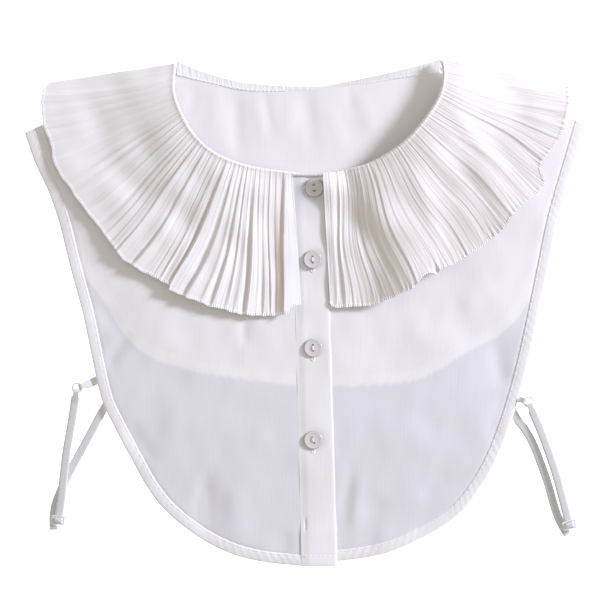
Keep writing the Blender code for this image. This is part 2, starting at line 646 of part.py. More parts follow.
def build_tab(name, knots, hem_at):
    """The tab: out from under the hem, round the ring's wire and folded back on itself."""
    route = curve(knots, 41)
    length = np.linalg.norm(np.diff(route, axis=0), axis=1).sum()
    folded = min(6.5, hem_at - 0.8)
    top = RING_HEIGHT + RING_TURN
    profile = [(folded, top - 0.4 * folded), *turn((0.0, RING_HEIGHT), RING_TURN, 90, 270)]
    profile += [(min(8.0, hem_at - 0.5), ELASTIC / 2), (length, ELASTIC / 2)]
    ribbon(name, route, profile, pinched=True)


def build_loop(name, knots):
    """The loop: sewn under the slider, up round the ring's wire, back and over the slider's bar."""
    route = curve(knots, 61)
    centre = np.linalg.norm(np.diff(route, axis=0), axis=1).sum()
    lower = ELASTIC + SEAM + ELASTIC / 2
    upper = lower + ELASTIC + SEAM
    over_bar = SLIDER_HEIGHT + SLIDER_THICKNESS + SEAM + ELASTIC / 2
    slot = (SLIDER_BAR + SLIDER_SLOT) / 2
    half = SLIDER_BAR * 1.5 + SLIDER_SLOT
    lower_run = [(s, lower) for s in np.linspace(centre - 0.5, 5.0, 10)]
    upper_run = [(s, upper) for s in np.linspace(7.0, centre - half - 1.0, 10)]
    profile = lower_run + turn((0.0, RING_HEIGHT), RING_TURN, 270, 90) + upper_run
    profile += [(centre - slot, upper), (centre - slot, over_bar), (centre + slot, over_bar)]
    profile += [(centre + slot, upper), (centre + half, upper)]
    ribbon(name, route, profile, pinched=True)
    point, sideways = spot_on(route, centre)
    return point, math.atan2(sideways[1], sideways[0])


def build_lead(name, knots):
    """The lead: from the turn below the slider, under the front's hem, to the back's corner."""
    route = curve(knots, 81)
    length = np.linalg.norm(np.diff(route, axis=0), axis=1).sum()
    upper = 2.5 * ELASTIC + 2 * SEAM
    radius = (upper - ELASTIC / 2) / 2
    profile = turn((radius, ELASTIC / 2 + radius), radius, 90, 270)
    profile += [(s, ELASTIC / 2) for s in np.linspace(radius + 3.0, length, 18)]
    ribbon(name, route, profile)


def build_ring(name, centre):
    """The ring that the tab and the loop pass through."""
    bm = bmesh.new()
    around, about = 24, 8
    rings = []
    for k in range(around):
        a = 2 * math.pi * k / around
        ring = []
        for j in range(about):
            b = 2 * math.pi * j / about
            reach = RING_RADIUS + RING_WIRE * math.cos(b)
            ring.append(bm.verts.new((reach * math.cos(a), reach * math.sin(a), RING_WIRE * math.sin(b))))
        rings.append(ring)
    for one, two in zip(rings, rings[1:] + rings[:1]):
        for j in range(about):
            bm.faces.new((one[j], one[(j + 1) % about], two[(j + 1) % about], two[j]))
    made = add_object(name, bm, fitting_material())
    made.location = (centre[0] * MM, centre[1] * MM, RING_HEIGHT * MM)


def build_slider(name, centre, angle):
    """A flat slider: three bars and two slots inside a frame."""
    half_width = ELASTIC_WIDTH / 2 + SEAM
    half_length = SLIDER_BAR * 1.5 + SLIDER_SLOT
    across = (-half_width - SLIDER_SIDE, -half_width, half_width, half_width + SLIDER_SIDE)
    ahead = (-half_length, -half_length + SLIDER_BAR, -SLIDER_BAR / 2, SLIDER_BAR / 2,
             half_length - SLIDER_BAR, half_length)
    bm = bmesh.new()
    corner = {}
    for i, x in enumerate(across):
        for j, y in enumerate(ahead):
            corner[i, j] = bm.verts.new((x, y, 0.0))
    for i in range(len(across) - 1):
        for j in range(len(ahead) - 1):
            slot = i == 1 and j in (1, 3)
            if not slot:
                bm.faces.new((corner[i, j], corner[i + 1, j], corner[i + 1, j + 1], corner[i, j + 1]))
    raised = bmesh.ops.extrude_face_region(bm, geom=bm.faces[:])
    top = [item for item in raised["geom"] if isinstance(item, bmesh.types.BMVert)]
    bmesh.ops.translate(bm, vec=(0.0, 0.0, SLIDER_THICKNESS), verts=top)
    made = add_object(name, bm, fitting_material(), smooth=False)
    made.location = (centre[0] * MM, centre[1] * MM, SLIDER_HEIGHT * MM)
    made.rotation_euler = (0.0, 0.0, angle)


def build_straps():
    """The elastic, the ring and the slider of each side."""
    for side, laid in STRAPS.items():
        build_tab(f"strap_tab_{side}", laid["tab"], laid["hem_at"])
        centre, angle = build_loop(f"strap_loop_{side}", laid["loop"])
        build_lead(f"strap_lead_{side}", laid["lead"])
        build_ring(f"ring_{side}", laid["ring"])
        build_slider(f"slider_{side}", centre, angle)


def set_origin():
    """Moves the whole so that its origin is at the middle of its underside."""
    bpy.context.view_layer.update()
    pieces = [piece for piece in bpy.data.objects if piece.parent is None]
    corners = np.array([piece.matrix_world @ vertex.co for piece in pieces for vertex in piece.data.vertices])
    low, high = corners.min(axis=0), corners.max(axis=0)
    for piece in pieces:
        piece.location.x -= (low[0] + high[0]) / 2
        piece.location.y -= (low[1] + high[1]) / 2
        piece.location.z -= low[2]


def build():
    for old in list(bpy.data.objects):
        bpy.data.objects.remove(old, do_unlink=True)
    build_back_ruffle()
    build_back()
    build_neck_stand()
    build_fronts()
    build_placket()
    build_front_ruffles()
    build_neck_edges()
    build_buttons()
    build_straps()
    set_origin()


build()
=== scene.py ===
"""Dresses a detachable false collar: cloth, pleats, stitching, buttons and elastic.

Run it as a script with Blender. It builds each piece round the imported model, which
it loads first. Tables are in millimetres: x runs across from the row of buttons, y
runs up from the lowest hem towards the neck, and z runs up from the table. Right and
left are the wearer's, so right is at -X.
"""

import math

import bmesh
import bpy
import numpy as np
from mathutils import Matrix, Vector


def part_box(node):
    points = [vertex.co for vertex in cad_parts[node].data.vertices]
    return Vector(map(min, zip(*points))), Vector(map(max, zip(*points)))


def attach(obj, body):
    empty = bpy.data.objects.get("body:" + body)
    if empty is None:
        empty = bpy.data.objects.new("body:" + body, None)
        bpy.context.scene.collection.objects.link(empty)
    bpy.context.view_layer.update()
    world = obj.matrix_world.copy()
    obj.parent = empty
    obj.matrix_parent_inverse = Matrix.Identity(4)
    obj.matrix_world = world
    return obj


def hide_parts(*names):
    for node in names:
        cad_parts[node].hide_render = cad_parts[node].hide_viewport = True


bl_info = {
    "name": "False Collar Dressing",
    "version": (1, 0, 0),
    "blender": (4, 5, 0),
    "location": "3D View > Sidebar > Collar",
    "description": "Builds the cloth, pleats, stitching, buttons and elastic of a false collar",
    "category": "Object",
}

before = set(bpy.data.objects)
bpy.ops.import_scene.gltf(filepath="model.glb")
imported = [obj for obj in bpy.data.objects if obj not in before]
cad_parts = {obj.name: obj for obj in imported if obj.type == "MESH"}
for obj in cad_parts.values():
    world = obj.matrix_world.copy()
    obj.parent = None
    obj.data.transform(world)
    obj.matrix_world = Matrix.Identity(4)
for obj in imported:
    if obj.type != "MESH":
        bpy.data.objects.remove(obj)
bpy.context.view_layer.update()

MM = 0.001

# The pattern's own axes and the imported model's differ by a shift, found from one ring
RING_SPOTS = {"right": (-152.8, 115.8), "left": (140.4, 106.8)}
ring_low, ring_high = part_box("ring_right")
SHIFT = (
    (ring_low.x + ring_high.x) / 2 / MM - RING_SPOTS["right"][0],
    (ring_low.y + ring_high.y) / 2 / MM - RING_SPOTS["right"][1],
    0.0,
)

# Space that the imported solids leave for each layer
CLOTH = 1.0
SEAM = 0.3
HEM_EXTRA = 0.5
LAYER = CLOTH + HEM_EXTRA + 0.45
RUFFLE_CLEAR = 0.8

# Neckline, from the right neck point round the front to the left one: (across, up)
CENTRE_NECK = 255.4
NECKLINE = [
    (-88.1, 326.0), (-89.2, 309.0), (-84.5, 294.3), (-76.2, 280.3), (-63.6, 269.0),
    (-45.8, 261.4), (-25.5, 257.5), (0.0, CENTRE_NECK), (25.0, 258.6), (40.2, 263.6),
    (56.7, 274.0), (68.1, 285.4), (78.3, 299.4), (83.3, 311.0), (84.0, 322.5), (82.5, 328.0),
]
# How high the neckline stands: (fraction of the way from one neck point to the other, height)
NECK_HEIGHTS = [
    (0.0, 3.0), (0.12, 7.5), (0.25, 8.5), (0.38, 4.5), (0.48, 0.8),
    (0.56, 1.2), (0.64, 5.0), (0.78, 10.0), (0.9, 9.0), (1.0, 3.5),
]
NECK_FALL = 58.0
NECK_EDGE_WIDTH = 2.2

# Back neck: its fold, and the seam where the ruffle's heading meets the back
BACK_FOLD = [
    (-86.0, 327.4), (-68.0, 320.4), (-42.0, 314.0), (0.0, 311.6), (20.4, 314.5), (53.6, 321.5),
    (81.0, 328.7),
]
BACK_SEAM = [
    (-85.0, 318.0), (-70.0, 314.2), (-40.0, 308.4), (0.0, 308.4), (20.0, 311.3), (53.0, 316.3),
    (79.5, 319.8),
]
STAND_RISE = 2.2
STAND_GATHERS = 44
STAND_CRINKLE = 0.35

# Hem and armhole of each front, from the centre front to the shoulder tip
FRONT_RIGHT_HEM = [
    (-6.4, 0.0), (-31.5, 2.6), (-52.3, 7.8), (-73.1, 18.2), (-93.3, 33.8), (-106.3, 49.4),
    (-118.0, 70.2), (-129.0, 91.0), (-136.8, 108.0), (-142.7, 132.6), (-149.2, 163.8),
    (-157.6, 195.0), (-164.6, 223.0), (-171.4, 243.0), (-180.4, 262.6), (-186.9, 281.5),
]
FRONT_LEFT_HEM = [
    (-5.6, 3.0), (14.6, 3.0), (45.8, 7.8), (71.2, 18.2), (88.7, 28.6), (100.4, 39.0),
    (111.4, 54.6), (120.2, 71.0), (128.0, 91.0), (134.0, 110.0), (140.4, 134.0),
    (147.2, 165.0), (153.3, 195.0), (159.0, 223.0), (164.4, 243.0), (170.6, 264.0), (177.1, 286.6),
]
# Hem of the back: its two armholes, under the fronts' hems above, and the curve between them
BACK_SIDE_RIGHT = [
    (-186.5, 281.8), (-179.4, 263.0), (-169.5, 243.5), (-161.4, 223.5), (-152.5, 196.5),
    (-144.0, 183.6), (-134.2, 170.3), (-124.8, 154.1), (-114.7, 142.4),
]
BACK_SIDE_LEFT = [
    (119.9, 148.9), (134.2, 162.5), (145.5, 184.0), (151.0, 205.0), (156.4, 224.0),
    (162.6, 243.5), (169.6, 264.3), (176.7, 286.8),
]
BACK_BOTTOM = [
    (-114.7, 142.4), (-104.5, 135.6), (-92.0, 131.0), (-63.6, 124.2), (0.0, 117.2), (59.2, 119.6),
    (82.4, 127.9), (94.8, 135.9), (106.9, 142.4), (119.9, 148.9),
]
FRONT_DESCENT = (92.0, 20.0)
BACK_DESCENT = (88.0, 150.0)

# Placket: its seam and its fold, at the neck and at the hem
PLACKET_SEAM = (-13.2, -7.0)
PLACKET_FOLD = (8.8, 16.3)
PLACKET_SHOULDER = (1.0, 9.0)
# The thin cloth of the placket lies this much lower than its solid, and the buttons with it
SETTLE = 0.75

# Outer edge of the ruffle's front stretches, from the centre front to the shoulder fold
RUFFLE_RIGHT_EDGE = [
    (-7.3, 169.5), (-11.8, 168.4), (-16.8, 164.1), (-28.7, 162.7), (-46.0, 163.8), (-60.6, 167.2),
    (-83.4, 175.4), (-92.5, 179.1), (-94.4, 183.2), (-114.4, 193.7), (-126.8, 203.3),
    (-132.7, 212.6), (-145.1, 228.3), (-154.2, 240.8), (-166.7, 259.0), (-169.1, 271.4),
    (-175.4, 289.6), (-175.4, 307.9), (-170.0, 313.7),
]
RUFFLE_LEFT_EDGE = [
    (11.2, 170.4), (14.0, 168.2), (28.1, 168.6), (43.6, 171.1), (59.2, 177.8), (66.9, 182.3),
    (73.2, 189.3), (86.6, 194.3), (96.5, 199.2), (108.9, 207.0), (125.7, 221.0), (129.8, 228.5),
    (148.1, 245.0), (150.5, 248.8), (147.6, 255.0), (149.8, 263.3), (160.5, 279.0),
    (164.6, 292.3), (166.7, 302.3), (166.7, 311.4),
]
RUFFLE_RIGHT_START = -11.4
RUFFLE_LEFT_START = 6.3
# The folds of each front stretch, from the centre front to the shoulder.
# neck, middle, edge: how far along, in percent, the fold is at each of them;
# height: how far it lifts the outer edge; drop: how far the cloth falls behind it;
# pleats: how many fine pleats lie between it and the next fold
RUFFLE_RIGHT_FOLDS = [
    (0.5, 0.0, 0.0, 1.4, 0.0, 1), (4.6, 4.7, 5.2, 3.6, 2.4, 1), (9.0, 7.0, 6.9, 1.4, 0.6, 1),
    (12.2, 9.5, 8.4, 1.7, 0.8, 1), (14.8, 11.6, 10.2, 1.6, 0.9, 1), (17.4, 13.4, 12.3, 1.4, 0.4, 1),
    (19.8, 15.8, 14.6, 3.6, 2.2, 1), (22.0, 18.6, 17.3, 2.6, 0.8, 1), (24.2, 20.9, 19.6, 3.2, 1.2, 1),
    (26.4, 23.6, 23.4, 4.6, 1.6, 1), (28.6, 26.0, 26.0, 3.8, 0.8, 1), (31.0, 29.0, 30.6, 6.2, 2.6, 1),
    (33.2, 31.8, 33.2, 3.4, 0.2, 1), (35.6, 34.4, 35.8, 6.4, 4.2, 1), (39.5, 38.8, 38.6, 3.4, 0.8, 2),
    (44.2, 42.8, 42.3, 2.2, 0.4, 1), (48.4, 46.0, 46.3, 5.4, 2.3, 1), (51.4, 49.4, 49.5, 2.8, 0.4, 1),
    (54.0, 52.2, 51.8, 5.0, 2.8, 1), (56.3, 54.7, 54.2, 2.4, 1.0, 1), (58.6, 57.0, 56.6, 3.0, 0.8, 2),
    (62.8, 60.7, 61.0, 1.5, 0.4, 1), (65.7, 63.8, 64.2, 3.0, 1.4, 1), (68.4, 66.5, 66.8, 1.8, 0.4, 1),
    (71.0, 69.2, 69.4, 2.8, 1.6, 2), (75.0, 74.6, 76.4, 1.9, 0.9, 2), (80.6, 81.1, 83.2, 1.5, 0.8, 2),
    (86.4, 86.9, 89.5, 1.2, 0.7, 2), (92.4, 93.4, 96.0, 0.8, 0.5, 1), (100.0, 100.0, 100.0, -2.6, 0.0, 0),
]
RUFFLE_LEFT_FOLDS = [
    (0.0, 0.0, 0.0, 0.8, 0.0, 1), (3.6, 3.0, 2.5, 1.4, 0.7, 1), (7.8, 6.0, 4.8, 2.4, 1.4, 1),
    (10.2, 8.2, 7.0, 2.0, 0.6, 1), (12.4, 10.6, 9.4, 1.6, 0.4, 1), (15.4, 14.0, 13.2, 3.4, 0.5, 2),
    (19.0, 18.4, 18.8, 7.4, 0.5, 1), (21.8, 21.2, 21.6, 9.4, 0.8, 1), (24.2, 23.8, 23.6, 10.8, 0.7, 1),
    (26.8, 26.4, 25.8, 12.0, 1.4, 1), (30.0, 29.9, 30.2, 10.0, 0.8, 1), (33.2, 33.0, 33.2, 9.6, 0.9, 1),
    (36.0, 35.6, 35.8, 8.8, 0.6, 1), (38.4, 37.9, 38.1, 8.2, 0.8, 1), (40.8, 40.0, 40.0, 7.6, 0.8, 1),
    (43.4, 42.2, 42.0, 8.2, 1.6, 2), (47.6, 47.4, 47.2, 7.6, 1.3, 2), (52.2, 51.8, 51.0, 7.4, 0.6, 1),
    (56.4, 54.6, 54.6, 8.8, 0.6, 1), (60.8, 59.6, 58.4, 10.0, 1.8, 1), (63.4, 62.8, 61.2, 8.6, 0.6, 1),
    (66.8, 66.4, 65.2, 7.8, 0.9, 2), (71.4, 70.9, 70.6, 6.8, 0.6, 1), (75.6, 75.0, 74.6, 6.0, 0.5, 1),
    (79.4, 78.9, 78.6, 6.6, 2.2, 2), (83.2, 84.4, 85.4, 5.6, 2.4, 2), (88.0, 91.0, 93.0, 4.4, 2.0, 1),
    (93.6, 96.4, 97.4, 1.2, 0.4, 1), (100.0, 100.0, 100.0, -2.6, 0.0, 0),
]
FINE_DROP = 0.7
STEEP_SHARE = 0.25

# Back stretch of the ruffle, flat on the table under the back
RUFFLE_BACK_EDGE = [
    (-167.0, 309.0), (-162.0, 284.0), (-144.0, 258.0), (-115.0, 238.0), (-75.0, 227.5),
    (-30.0, 223.0), (20.0, 223.0), (60.0, 227.0), (105.0, 239.0), (135.0, 257.0),
    (152.0, 281.0), (158.5, 307.0),
]
RUFFLE_BACK_PLEATS = 40
RUFFLE_BACK_PLEAT = 1.3

# Buttons, from the neck down: (across, up, turn of its thread in degrees)
BUTTONS = [(1.0, 245.7, 4.0), (0.0, 199.2, 0.0), (0.3, 141.7, 3.0), (0.3, 81.9, 24.0)]
BUTTONHOLE = 14.0
BUTTONHOLE_DROP = 1.3
# How far the cloth gives way under a button
BUTTON_DIP = 0.55

# Elastic straps, rings and sliders, as they lie
ELASTIC_WIDTH = 5.4
ELASTIC = 1.0
RING_PINCH = 3.8
RING_TURN = 1.8
RING_HEIGHT = 3.25
SLIDER_BAR = 1.0
SLIDER_SLOT = 1.4
SLIDER_THICKNESS = 1.2
SLIDER_SIDE = 1.4
SLIDER_HEIGHT = 3.9
STRAPS = {
    "right": {
        "tab": [(-149.9, 116.8), (-143.6, 119.2), (-139.9, 121.0), (-131.5, 125.6)],
        "hem_at": 10.4,
        "loop": [
            (-153.5, 112.8), (-156.5, 93.0), (-159.4, 76.4), (-161.5, 59.9), (-163.2, 43.3),
            (-165.2, 30.0),
        ],
        "lead": [
            (-168.2, 24.0), (-168.2, 33.0), (-166.0, 43.3), (-157.6, 61.5), (-150.4, 74.8),
            (-143.7, 87.2), (-134.6, 103.8), (-112.4, 138.9),
        ],
    },
    "left": {
        "tab": [(137.4, 107.5), (134.6, 108.5), (130.9, 110.3)],
        "hem_at": 3.3,
        "loop": [
            (141.4, 103.8), (147.8, 89.0), (152.8, 75.7), (157.8, 60.8), (161.9, 45.9),
            (166.9, 26.8),
        ],
        "lead": [
            (165.6, 20.6), (160.9, 29.0), (157.4, 38.0), (152.0, 56.6), (143.7, 78.6),
            (137.9, 89.0), (131.2, 98.6), (108.1, 141.7),
        ],
    },
}

# Soft creases: two ends, half width, height (a trough is negative)
FRONT_CREASES = [
    (-119.6, 151.0, -133.0, 129.0, 5.0, -0.55), (-140.0, 168.0, -124.5, 153.0, 6.0, -0.40),
    (-68.6, 58.0, -71.2, 20.0, 5.5, -0.60), (-50.0, 52.0, -46.0, 12.0, 9.0, 0.55),
    (-45.0, 165.0, -42.6, 144.0, 3.5, -0.28), (-119.0, 93.0, -104.0, 68.0, 6.0, -0.50),
    (-20.0, 22.0, -17.0, 9.0, 5.0, -0.45), (-97.0, 118.0, -88.0, 84.0, 9.0, 0.25),
    (-104.0, 164.0, -96.0, 138.0, 10.0, 0.35), (118.6, 144.0, 125.1, 118.0, 6.5, -0.60),
    (126.4, 111.0, 115.4, 82.0, 5.5, -0.45), (23.5, 64.0, 20.5, 22.0, 4.5, -0.40),
    (31.0, 60.0, 29.0, 24.0, 5.0, 0.30), (44.0, 44.0, 35.0, 14.0, 6.0, -0.40),
    (86.0, 62.0, 72.0, 44.0, 6.0, -0.35), (96.0, 170.0, 118.0, 182.0, 8.0, 0.30),
    (60.0, 150.0, 96.0, 140.0, 9.0, 0.22),
]
BACK_CREASES = [
    (-51.0, 306.0, -47.0, 268.0, 5.0, -0.75), (-61.0, 312.0, -66.0, 284.0, 5.5, 0.55),
    (-36.0, 306.0, -34.0, 276.0, 5.0, 0.30), (-30.0, 308.0, -28.0, 282.0, 3.5, -0.45),
    (-4.0, 306.0, -1.0, 268.0, 5.5, -0.60), (-14.0, 304.0, -16.0, 276.0, 5.0, 0.35),
    (10.0, 298.0, 20.0, 268.0, 6.0, 0.40), (30.0, 306.0, 40.0, 284.0, 6.0, 0.40),
    (24.0, 309.0, 26.0, 296.0, 3.0, -0.30), (-78.0, 312.0, -80.0, 290.0, 4.0, -0.45),
]


# Properties that a user would change


class CollarSizes(bpy.types.PropertyGroup):
    """Sizes of the cloth, the stitching and the elastic's ribs."""

    cloth: bpy.props.FloatProperty(
        name="Cloth thickness", description="Thickness of one layer of cloth",
        default=0.45 * MM, min=0.0002, max=0.001, unit="LENGTH", precision=5)
    hem: bpy.props.FloatProperty(
        name="Hem width", description="Width of the turned hem",
        default=7.0 * MM, min=0.003, max=0.02, unit="LENGTH")
    stitch: bpy.props.FloatProperty(
        name="Stitch length", description="Length of one stitch of the machine stitching",
        default=2.0 * MM, min=0.001, max=0.005, unit="LENGTH", precision=4)
    stitch_gap: bpy.props.FloatProperty(
        name="Stitch gap", description="Distance between the ends of two stitches",
        default=0.7 * MM, min=0.0002, max=0.003, unit="LENGTH", precision=4)
    thread: bpy.props.FloatProperty(
        name="Thread width", description="Width of the sewing thread",
        default=0.5 * MM, min=0.0002, max=0.001, unit="LENGTH", precision=5)
    weave: bpy.props.FloatProperty(
        name="Weave pitch", description="Distance between two yarns of the plain weave",
        default=0.55 * MM, min=0.0002, max=0.002, unit="LENGTH", precision=5)
    ribs: bpy.props.FloatProperty(
        name="Elastic rib pitch", description="Distance between two ribs of the elastic",
        default=0.9 * MM, min=0.0004, max=0.003, unit="LENGTH", precision=4)


def colour_property(name, description, value):
    return bpy.props.FloatVectorProperty(
        name=name, description=description, subtype="COLOR", size=4, min=0.0, max=1.0,
        default=(*value, 1.0))


class CollarColours(bpy.types.PropertyGroup):
    """Colours of the cloth, the threads and the fittings."""

    single: colour_property("Single cloth", "One layer of the thin cloth", (0.787, 0.787, 0.815))
    double: colour_property("Double cloth", "Where two or more layers lie together", (0.92, 0.905, 0.906))
    ruffle: colour_property("Pleated cloth", "The ruffle's crisp white cloth", (0.945, 0.933, 0.932))
    # Painted shade: the warmer, darker colour that the ruffle's troughs are painted
    trough: colour_property("Trough", "The ruffle's cloth deep between two pleats", (0.85, 0.80, 0.77))
    # A pleat's pressed edge is painted whiter: partly the fold's own pressed whiteness, partly a painted
    # highlight
    fold: colour_property("Pressed fold", "A pleat's pressed edge", (0.97, 0.97, 0.97))
    thread: colour_property("Thread", "Sewing thread", (0.95, 0.945, 0.96))
    elastic: colour_property("Elastic", "The straps' elastic", (0.755, 0.765, 0.765))
    button: colour_property("Button", "The buttons' pearly resin", (0.76, 0.72, 0.72))
    fitting: colour_property("Fitting", "The rings and the sliders", (0.80, 0.80, 0.79))
    floor: colour_property("Floor", "The pale floor", (1.0, 1.0, 1.0))


def sizes():
    return bpy.context.scene.collar_sizes


def colours():
    return bpy.context.scene.collar_colours


# Curves and levels, in the pattern's millimetres


def along(points, fractions):
    """Points at fractions of a polyline's length."""
    steps = np.linalg.norm(np.diff(points, axis=0), axis=1)
    length = np.concatenate([[0.0], np.cumsum(steps)])
    places = np.asarray(fractions) * length[-1]
    return np.stack([np.interp(places, length, column) for column in points.T], axis=-1)


def curve(knots, count=200):
    """Evenly spaced points of a smooth curve through the knots."""
    knots = np.array(knots, float)
    ends = np.vstack([2 * knots[0] - knots[1], knots, 2 * knots[-1] - knots[-2]])
    t = np.linspace(0.0, 1.0, 20, endpoint=False)[:, None]
    spans = []
    for a, b, c, d in zip(ends, ends[1:], ends[2:], ends[3:]):
        spans.append(b + 0.5 * t * (c - a + t * (2 * a - 5 * b + 4 * c - d + t * (3 * (b - c) + d - a))))
    return along(np.vstack(spans + [knots[-1:]]), np.linspace(0.0, 1.0, count))


def tangents(points):
    """Unit directions along a row of points."""
    step = np.gradient(points, axis=0)
    return step / np.linalg.norm(step, axis=1, keepdims=True)


def lengthened(line, extra, count):
    """A line run on straight past both its ends."""
    ahead = tangents(line)
    return along(
        np.vstack([line[:1] - extra * ahead[:1], line, line[-1:] + extra * ahead[-1:]]),
        np.linspace(0.0, 1.0, count))


def moved_left(points, distance):
    """The row of points moved sideways, to the left of its direction."""
    step = tangents(points)
    return points + distance * np.stack([-step[:, 1], step[:, 0]], axis=1)


def run_length(points):
    """Distance along a row of points from its start."""
    return np.concatenate([[0.0], np.cumsum(np.linalg.norm(np.diff(points, axis=0), axis=1))])


def distance_and_place(points, line):
    """Distance from each point to a line, and how far along it the nearest place is."""
    flat = points.reshape(-1, 2)
    gaps = (flat[:, None, 0] - line[None, :, 0]) ** 2 + (flat[:, None, 1] - line[None, :, 1]) ** 2
    nearest = gaps.argmin(axis=1)
    best = np.full(len(flat), np.inf)
    place = np.zeros(len(flat))
    for shift in (-1, 0):
        start = np.clip(nearest + shift, 0, len(line) - 2)
        step = line[start + 1] - line[start]
        t = np.clip(((flat - line[start]) * step).sum(axis=1) / (step ** 2).sum(axis=1), 0.0, 1.0)
        apart = np.linalg.norm(flat - line[start] - t[:, None] * step, axis=1)
        closer = apart < best
        best = np.where(closer, apart, best)
        place = np.where(closer, (start + t) / (len(line) - 1), place)
    shape = points.shape[:-1]
    return best.reshape(shape), place.reshape(shape)


def fall(value, start, end):
    """1 up to start, easing down to 0 at end."""
    t = np.clip((value - start) / (end - start), 0.0, 1.0)
    return 1.0 - t * t * (3.0 - 2.0 * t)


def patch(near, far, rows):
    """Plan points between two edges, with straight sides between their ends."""
    v = np.array(rows)[:, None, None]
    return (1 - v) * near[None] + v * far[None]


def waves(x, y, length, seed):
    """Smooth uneven relief of about one, its crests a length apart."""
    rng = np.random.default_rng(seed)
    total = np.zeros(np.broadcast(x, y).shape)
    count = 9
    for _ in range(count):
        angle, phase = rng.uniform(0.0, 2 * math.pi, 2)
        k = 2 * math.pi / (length * rng.uniform(0.7, 1.6))
        total += np.sin(k * (x * math.cos(angle) + y * math.sin(angle)) + phase)
    return total / math.sqrt(count)


NECK = curve(NECKLINE, 401)
BACK_NECK = curve(BACK_FOLD, 161)
NECK_STAND = curve(NECK_HEIGHTS, 300)


def back_level(plan):
    """The back lies on the ruffle's back stretch near the neck and on the table lower down."""
    on_ruffle = CLOTH + RUFFLE_BACK_PLEAT + 0.5
    return on_ruffle * fall(distance_and_place(plan, BACK_NECK)[0], *BACK_DESCENT)


def neck_roll(plan):
    """The front stands up towards the neckline."""
    apart, place = distance_and_place(plan, NECK)
    return np.interp(place, *NECK_STAND.T) * fall(apart, 0.0, NECK_FALL)


def front_level(plan):
    """The front lies on the back, and on the table below the back's hem."""
    return back_level(plan) + LAYER * fall(plan[..., 1], *FRONT_DESCENT) + neck_roll(plan)


def creased(plan, creases):
    """The relief of soft creases, each a ridge or a trough that fades at its ends."""
    relief = np.zeros(plan.shape[:-1])
    for x0, y0, x1, y1, width, height in creases:
        start, step = np.array((x0, y0)), np.array((x1 - x0, y1 - y0))
        t = ((plan - start) @ step) / (step @ step)
        side = ((plan - start) @ np.array((-step[1], step[0]))) / np.linalg.norm(step)
        side = side + 1.2 * np.sin(3.0 * t + x0)
        fade = np.exp(-((t - 0.5) / 0.48) ** 4)
        relief += 1.7 * height * fade * np.exp(-(side / width) ** 2)
    return relief


# How far a hollow in the front may sink where the front lies on the table
LOWEST = -0.45


def front_lie(plan):
    """The front's level with its soft creases."""
    x, y = plan[..., 0], plan[..., 1]
    soft = 0.24 * waves(x, y, 46.0, 3) + 0.07 * waves(x, y, 17.0, 4)
    lie = front_level(plan) + creased(plan, FRONT_CREASES) + soft * fall(y, 250.0, 255.0)
    return np.logaddexp(6.0 * lie, 6.0 * LOWEST) / 6.0


def placket_side(plan, sides):
    """A placket edge's distance across at each point's height above the hem."""
    return np.interp(plan[..., 1], (0.0, CENTRE_NECK), (sides[1], sides[0]))


def over_placket(plan):
    """The ruffle is lifted where it lies on the placket."""
    seam, fold = placket_side(plan, PLACKET_SEAM), placket_side(plan, PLACKET_FOLD)
    beyond_seam = fall(seam - plan[..., 0], *PLACKET_SHOULDER)
    beyond_fold = fall(plan[..., 0] - fold, *PLACKET_SHOULDER)
    return (CLOTH + SEAM - SETTLE) * beyond_seam * beyond_fold


# Meshes


def placed(points):
    """Points in the pattern's millimetres, in the model's metres."""
    return (np.asarray(points, float) + np.array(SHIFT)) * MM


def finish_piece(name, mesh, surface, *replaced, slot="cloth", smooth=35.0):
    """Links a mesh as a piece of the collar that stands for some nodes."""
    mesh.materials.append(surface)
    mesh.shade_smooth()
    mesh.set_sharp_from_angle(angle=math.radians(smooth))
    piece = bpy.data.objects.new(name, mesh)
    bpy.context.scene.collection.objects.link(piece)
    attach(piece, "root")
    if replaced:
        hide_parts(*replaced)
    return piece


def bmesh_piece(name, bm, surface, *replaced, **choices):
    """Turns a bmesh in the pattern's millimetres into a finished piece."""
    mesh = bpy.data.meshes.new(name)
    bmesh.ops.recalc_face_normals(bm, faces=bm.faces)
    bmesh.ops.translate(bm, vec=SHIFT, verts=bm.verts)
    bmesh.ops.scale(bm, vec=(MM, MM, MM), verts=bm.verts)
    bm.to_mesh(mesh)
    bm.free()
    return finish_piece(name, mesh, surface, *replaced, **choices)


def grid_cells(bm, rows, columns):
    """A flat grid in a bmesh, and the row and column of each of its vertices."""
    made = bmesh.ops.create_grid(bm, x_segments=columns - 1, y_segments=rows - 1, size=1.0)
    bm.verts.index_update()
    cell = {}
    for vert in made["verts"]:
        c = round((vert.co.x + 1) / 2 * (columns - 1))
        r = round((vert.co.y + 1) / 2 * (rows - 1))
        cell[vert] = (r, c)
    return cell


